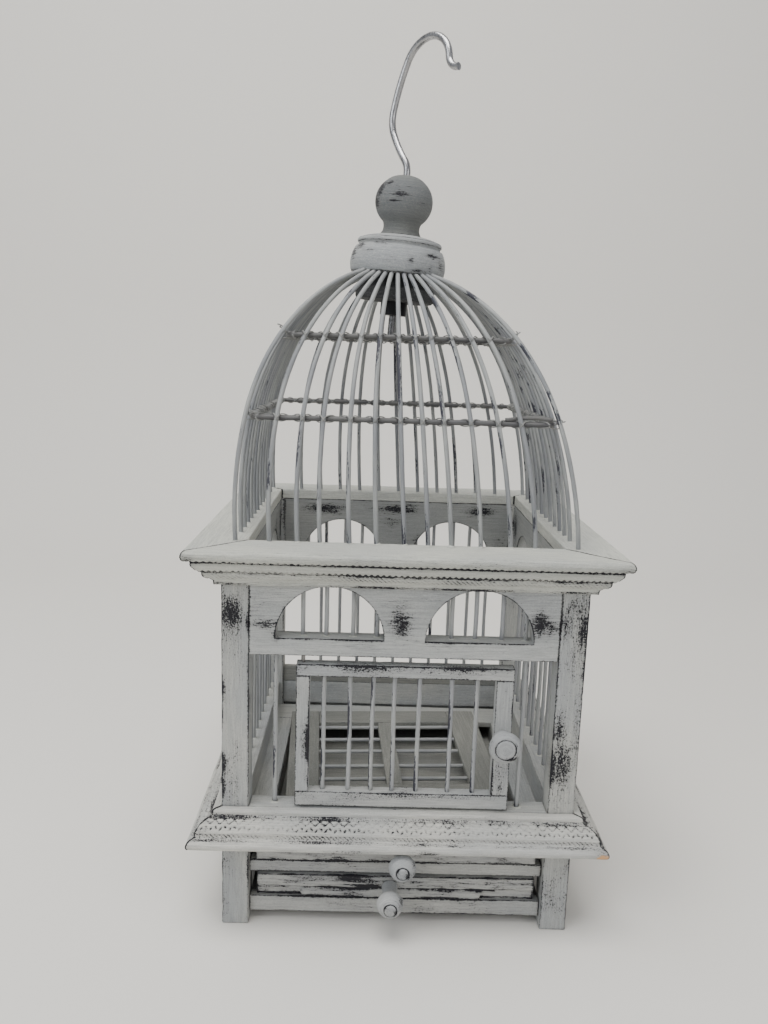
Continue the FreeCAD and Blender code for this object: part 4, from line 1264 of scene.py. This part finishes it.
ball_spots = [
    (-17, -8, 57, 5, 7, 8, 0.95), (-19, -5, 48, 4, 7, 5, 0.9), (-12, -13, 60, 7, 7, 3, 0.7),
    (-3, -19.6, 52.5, 7, 6, 2.2, 0.95),
    (-7, -19, 48.0, 6, 6, 0.8, 0.95), (10, -18, 55, 9, 6, 0.8, 0.5),
    (12, -17, 48.5, 12, 7, 0.7, 0.45), (2, -19, 58, 10, 6, 0.8, 0.4),
    (15, 12, 50, 5, 6, 6, 0.6), (-6, 19, 55, 8, 6, 3, 0.5),
]
ball_paint = chalky_paint("chalky_paint_finial", (0.20, 0.205, 0.19), (0.145, 0.155, 0.16),
                          wear=0.5, reach=0.9, flecks=0.5, streak=0.85)
points, faces, grain, arris = lathe(finial_corners, seed=3.9, step=0.8)
finish_piece("finial_painted", on_crown(points), faces, "cage", ball_paint,
             "finial_knob", grain, arris, rub_of(points, ball_spots))

# ---------------------------------------------------------------- hook and nut
# The hook is bent from zinc-plated 5 mm rod, threaded at its lower end for the nut
# that holds the whole crown together from below.


def metal(name, colour, rough, scratch):
    b = Brush(name)
    place = b.node("ShaderNodeTexCoord").outputs["Object"]
    fine = b.grainy(b.stretch(place, (900, 900, 120)), 1.0, 4.0, 0.6)
    slow = b.grainy(b.stretch(place, (60, 60, 45)), 1.0, 3.0, 0.55)
    b.put(b.blend(b.spread(slow, 0.35, 0.7), (*colour, 1), (*[c * 0.62 for c in colour], 1)),
          b.shader.inputs["Base Color"])
    b.put(b.spread(fine, 0.3, 0.7, rough, rough + 0.16, smooth=False), b.shader.inputs["Roughness"])
    b.shader.inputs["Metallic"].default_value = 1.0
    b.raised(fine, scratch, 0.0002)
    return b.material


zinc = metal("zinc_plate", (0.50, 0.50, 0.51), 0.2, 0.5)
blackened = metal("blackened_steel", (0.035, 0.035, 0.038), 0.45, 0.6)
pin_steel = metal("hinge_pin_steel", (0.32, 0.31, 0.30), 0.4, 0.6)
for node, finish in (("hanging_hook", zinc), ("hanger_nut", blackened), ("hinge_pins", pin_steel)):
    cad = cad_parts[node]
    cad.data.materials.clear()
    cad.data.materials.append(finish)

thread = []
for i in range(16 * 18):
    turn = 2 * math.pi * i / 16
    thread.append((2.45 * math.cos(turn), 2.45 * math.sin(turn), -43.6 + 0.85 * i / 16))
wires("shank_thread", [on_crown(thread)], 0.55, "hook", blackened, sides=5)

# ---------------------------------------------------------------- knobs
# The door and both drawers have small turned wooden knobs, glued in by a spigot,
# with a button in front and bare black wood round it.


def knob_corners(d, neck_d, widest, reach, button):
    r, n, front = d / 2, neck_d / 2, button / 2
    swell = (r - n) * 0.9
    ahead_of = reach - widest
    return [
        (0.01, -4.0), (2.9, -4.0), (2.9, 0.05), (n + 0.6, 0.05),
        *round_bend((n + 0.6, 0.05), (n - 0.3, (widest - swell) * 0.5), (n, widest - swell * 1.6),
                    6),
        (n, widest - swell * 1.6),
        *round_bend((n, widest - swell * 1.6), (n + (r - n) * 0.72, widest - swell * 0.72),
                    (r, widest), 8),
        (r, widest),
        *round_bend((r, widest), (front + (r - front) * 0.74, widest + ahead_of * 0.5),
                    (front + 0.9, reach - 0.9), 8),
        (front + 0.9, reach - 0.9), (front + 0.4, reach - 1.5), (front, reach - 1.3, True),
        *round_bend((front, reach - 1.3), (front - 0.5, reach - 0.2), (front - 1.6, reach), 4),
        (front - 1.6, reach), (0.01, reach + 0.1),
    ]


def knob_piece(name, node, body, corners, face_y, spots, seed):
    low, high = box_mm(node)
    x, z = (low[0] + high[0]) / 2, (low[2] + high[2]) / 2
    points, faces, grain, arris = lathe(corners, step=0.5, sides=56, wobble=0.22, seed=seed)
    rubbed = rub_of(points, spots)
    placed = np.stack([x + points[:, 0], face_y - points[:, 2], z + points[:, 1]], 1)
    return finish_piece(name, placed, faces, body, knob_paint, node, grain, arris,
                        rubbed)


knob_paint = chalky_paint("chalky_paint_knobs", (0.46, 0.465, 0.46), (0.37, 0.385, 0.40), wear=0.9,
                          reach=0.9, flecks=0.8, streak=0.4)
door_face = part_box("door_latch_stile")[0][1] / MM
knob_piece("door_knob_painted", "door_knob", "door", knob_corners(21.5, 12.0, 11.8, 16.5, 13.0),
           door_face,
           [(4, -6.2, 15, 5, 1.4, 2.5, 1.0), (6.4, 1, 15, 1.0, 5, 2.0, 0.7),
            (-6.3, -1, 15, 0.9, 4, 2, 0.5), (-9, 2, 12, 3, 5, 3, 0.5)], 1.4)
drawer_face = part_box("upper_drawer_front")[0][1] / MM
for drawer, seed in (("upper_drawer", 4.1), ("lower_drawer", 6.6)):
    knob_piece(drawer + "_knob_painted", drawer + "_knob", drawer,
               knob_corners(18.2, 9.8, 18.0, 26.0, 8.0), drawer_face,
               [(3.4, -1, 25.5, 1.6, 3.5, 2.5, 0.75), (-3.2, 2, 25, 1.2, 2, 2, 0.6),
                (7, 3, 20, 2, 5, 5, 0.6), (-7, -4, 19, 2, 4, 5, 0.5)], seed)

# ---------------------------------------------------------------- door
# A light frame of four sticks with seven bars between its rails. It turns on two
# wire pins at its left stile. The stiles stand between the full-width rails.
door_paint = chalky_paint("chalky_paint_door", (0.48, 0.485, 0.47), COOL, wear=0.8, reach=1.3,
                          flecks=0.8, streak=0.4)
door_rubs = {
    "door_top_rail": ("x", [(-20, -117, 185.6, 40, 5, 2.4, 0.6), (45, -116, 186, 26, 5, 2.2, 0.66),
                            (0, -112, 186.8, 60, 4, 1.5, 0.4), (-66, -117, 184, 3, 3, 3, 0.4)]),
    "door_bottom_rail": ("x",
                         [(10, -117, 96.6, 60, 4, 1.8, 0.55), (-20, -117, 94, 24, 4, 1.6, 0.3)]),
    "door_hinge_stile": ("z",
                         [(-60.6, -116.5, 132, 2.6, 4, 14, 1.0),
                          (-60.4, -116.5, 150, 1.2, 4, 12, 0.6), (-61.5, -117, 108, 2, 4, 6, 0.4),
                          (-69, -117, 150, 1.2, 4, 30, 0.4)]),
    "door_latch_stile": ("z",
                         [(65, -117, 116, 5, 4, 12, 0.34), (67.5, -117, 104, 1.8, 4, 5, 1.0),
                          (71.8, -117, 158, 1.0, 4, 6, 0.8), (60.8, -117, 110, 1.2, 4, 14, 0.6)]),
}
for node, (along, spots) in door_rubs.items():
    board(node + "_painted", "door", along, door_paint, node=node, spots=spots, soft=0.6, cell=3.0,
          nick=0.7)
door_lines = [wander(line, 0.8, rng.uniform(0, 99))
              for line in node_lines("door_bars", even_levels(7.0))]
wires("door_bars_painted", door_lines, 3.0, "door", wall_wire, "door_bars",
      rub=lambda p, out, number: max(0.0,
                                     0.5 * -out[0] + 0.8 * noise.noise(Vector((p[2] * 0.03,
                                         number * 4.4, 2.0)))))

# ---------------------------------------------------------------- drawer case
# Under the floor the posts are closed in by panels at the sides and back and by two
# rails in front. A thin board makes the bottom, and runners carry the upper drawer.
case_paint = chalky_paint("chalky_paint_case", (0.47, 0.47, 0.445), (0.37, 0.38, 0.38), wear=0.9,
                          reach=1.8, flecks=0.9, streak=0.55)
board("apron_rail_painted", "cage", "x", case_paint, node="apron_rail", soft=0.9, nick=0.9,
      cell=3.0, swell=0.3,
      spots=[(0, -113, 18, 70, 4, 1.3, 0.3), (60, -113, 8, 30, 4, 1.2, 0.3)])
board("divider_rail_painted", "cage", "x", case_paint, node="divider_rail", soft=0.8, nick=0.8,
      cell=3.0, swell=0.3,
      spots=[(-50, -113, 45.5, 60, 4, 1.0, 0.4)])
for node, along in (("case_side_left", "y"), ("case_side_right", "y"), ("case_back", "x")):
    board(node + "_painted", "cage", along, case_paint, node=node, soft=0.7, cell=4.5)
board("case_floor_panel", "cage", "x", inside_paint, "inner_wood", low=(-98.9, -104.9, 16),
      high=(98.9, 106.9, 19), soft=0.4, cell=9)
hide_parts("case_floor")
for node in ("drawer_runners", "grille_ledges"):
    low, high = box_mm(node)
    boxes = []
    for end in (0, 1):
        a, c = low.copy(), high.copy()
        if node == "drawer_runners":
            a[0], c[0] = (low[0], low[0] + 15) if end == 0 else (high[0] - 15, high[0])
            boxes.append((a, c, "y"))
        else:
            a[1], c[1] = (low[1], low[1] + 30) if end == 0 else (high[1] - 30, high[1])
            boxes.append((a, c, "x"))
            a, c = a.copy(), c.copy()
            a[0], c[0] = (low[0], low[0] + 20) if end == 0 else (high[0] - 20, high[0])
            a[1], c[1] = low[1] + 30.1, high[1] - 30.1
            boxes.append((a, c, "y"))
    for number, (a, c, along) in enumerate(boxes):
        made = board("%s_%d" % (node, number), "cage", along,
                     inside_paint if node == "drawer_runners" else rail_paint,
                     "inner_wood", low=a, high=c, soft=0.5, cell=6)
    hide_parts(node)

# ---------------------------------------------------------------- drawers
# Each drawer is a shallow tray behind a narrow front. Damp and handling have raised
# the grain of the fronts and worn their edges away.
drawer_paint = chalky_paint("chalky_paint_drawers", (0.45, 0.45, 0.43), (0.35, 0.36, 0.365),
                            wear=0.9, reach=2.4, flecks=1.2, streak=0.65)


def upper_relief(points, low):
    """A dark groove splits the upper front into two bands, the lower one proud."""
    up = points[:, 2] - low[2]
    groove = np.exp(-(((up - 9.2) / 0.8) ** 2))
    ragged = np.array([noise.noise(Vector((x * 0.09, z * 0.5, 3))) for x,
                       z in zip(points[:, 0], up)])
    sunk = 2.0 * groove + 0.5 * (up > 9.2) + 0.5 * np.clip(ragged, 0, 1)
    return sunk, 0.95 * groove + 0.45 * np.clip(ragged * 2 - 0.2, 0, 1) + 0.2 * (up > 9.2)


def lower_relief(points, low):
    """The lower front has lost its lower strip at both ends, and its top is raw and ridged."""
    up = points[:, 2] - low[2]
    x = points[:, 0]
    ragged = np.array([noise.noise(Vector((a * 0.05, z * 0.75, 9))) for a, z in zip(x, up)])
    broken = ((x < -63 + 5 * ragged) | (x > 58 + 5 * ragged)) & (up < 6.5 + 2 * ragged)
    ridge = np.clip(np.abs(np.sin(up * 1.15 + 2.2 * ragged)) * 1.3 - 0.4, 0, 1)
    seam = np.exp(-(((up - 6.8 - 1.2 * ragged) / 0.7) ** 2))
    sunk = 3.0 * broken + 0.8 * ridge + 1.6 * seam
    bare = 0.55 * ridge * (up > 7) + 0.35 * np.clip(ragged * 2, 0, 1) + 0.9 * seam
    return sunk, np.where(broken, 0.1, bare)


board("upper_drawer_front_painted", "upper_drawer", "x", drawer_paint, node="upper_drawer_front",
      soft=1.0, nick=1.2, cell=1.3, swell=0.4,
      relief=upper_relief)
board("lower_drawer_front_painted", "lower_drawer", "x", drawer_paint, node="lower_drawer_front",
      soft=1.2, nick=1.6, cell=1.3, swell=0.6,
      relief=lower_relief)
for drawer in ("upper_drawer", "lower_drawer"):
    low, high = box_mm(drawer + "_tray")
    t = 4.0
    sides = [
        ("left", (low[0], low[1], low[2]), (low[0] + t, high[1], high[2]), "y"),
        ("right", (high[0] - t, low[1], low[2]), (high[0], high[1], high[2]), "y"),
        ("back", (low[0] + t, high[1] - t, low[2]), (high[0] - t, high[1], high[2]), "x"),
        ("bottom", (low[0] + t, low[1], low[2]), (high[0] - t, high[1] - t, low[2] + 3), "x"),
    ]
    for part, a, c, along in sides:
        made = board("%s_tray_%s" % (drawer, part), drawer, along, inside_paint, "inner_wood",
                     low=a, high=c, soft=0.5, cell=7)
    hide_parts(drawer + "_tray")

# ---------------------------------------------------------------- floor grille
# The floor is a loose rack of flat strips with thin cross rods, lying a little askew
# on ledges over the upper drawer.
GRILLE_TURN = math.radians(3.5)
GRILLE_X = -3.5
gx, gy, strip, bar_half = 80.0, 77.0, 24.0, 6.0
grille_z = (base_low, base_low + 5.0)


def laid(points):
    c, s = math.cos(GRILLE_TURN), math.sin(GRILLE_TURN)
    return np.stack([points[:, 0] * c - points[:, 1] * s + GRILLE_X,
                     points[:, 0] * s + points[:, 1] * c, points[:, 2]], 1)


grille_paint = chalky_paint("grille_paint", (0.30, 0.30, 0.275), (0.22, 0.225, 0.21), wear=0.3,
                            flecks=0.35, streak=0.7)
strips = (
    ("left", -gx, -gx + strip, -gy, gy, "y"), ("right", gx - strip, gx, -gy, gy, "y"),
    ("front", -gx + strip, gx - strip, -gy, -gy + strip, "x"),
    ("back", -gx + strip, gx - strip, gy - strip, gy, "x"),
    ("middle", -bar_half, bar_half, -gy + strip, gy - strip, "y"),
)
for part, x0, x1, y0, y1, along in strips:
    points, faces, grain, arris = board_mesh((x0, y0, grille_z[0]), (x1, y1, grille_z[1]), along,
                                             soft=0.6, cell=4)
    finish_piece("grille_strip_" + part, laid(points), faces, "cage", grille_paint,
                 "floor_grille_frame" if part == "middle" else (), grain, arris)
rod_paths = []
for y in (48.0, 25.0, 4.0, -21.0, -41.0):
    ends = laid(np.array([(-gx + strip - 6, y, 68.5), (gx - strip + 6, y, 68.5)]))
    rod_paths.append(np.array([ends[0] + (ends[1] - ends[0]) * i / 20 for i in range(21)]))
wires("grille_rods_painted", rod_paths, 3.0, "cage", wall_wire, "floor_grille_rods")
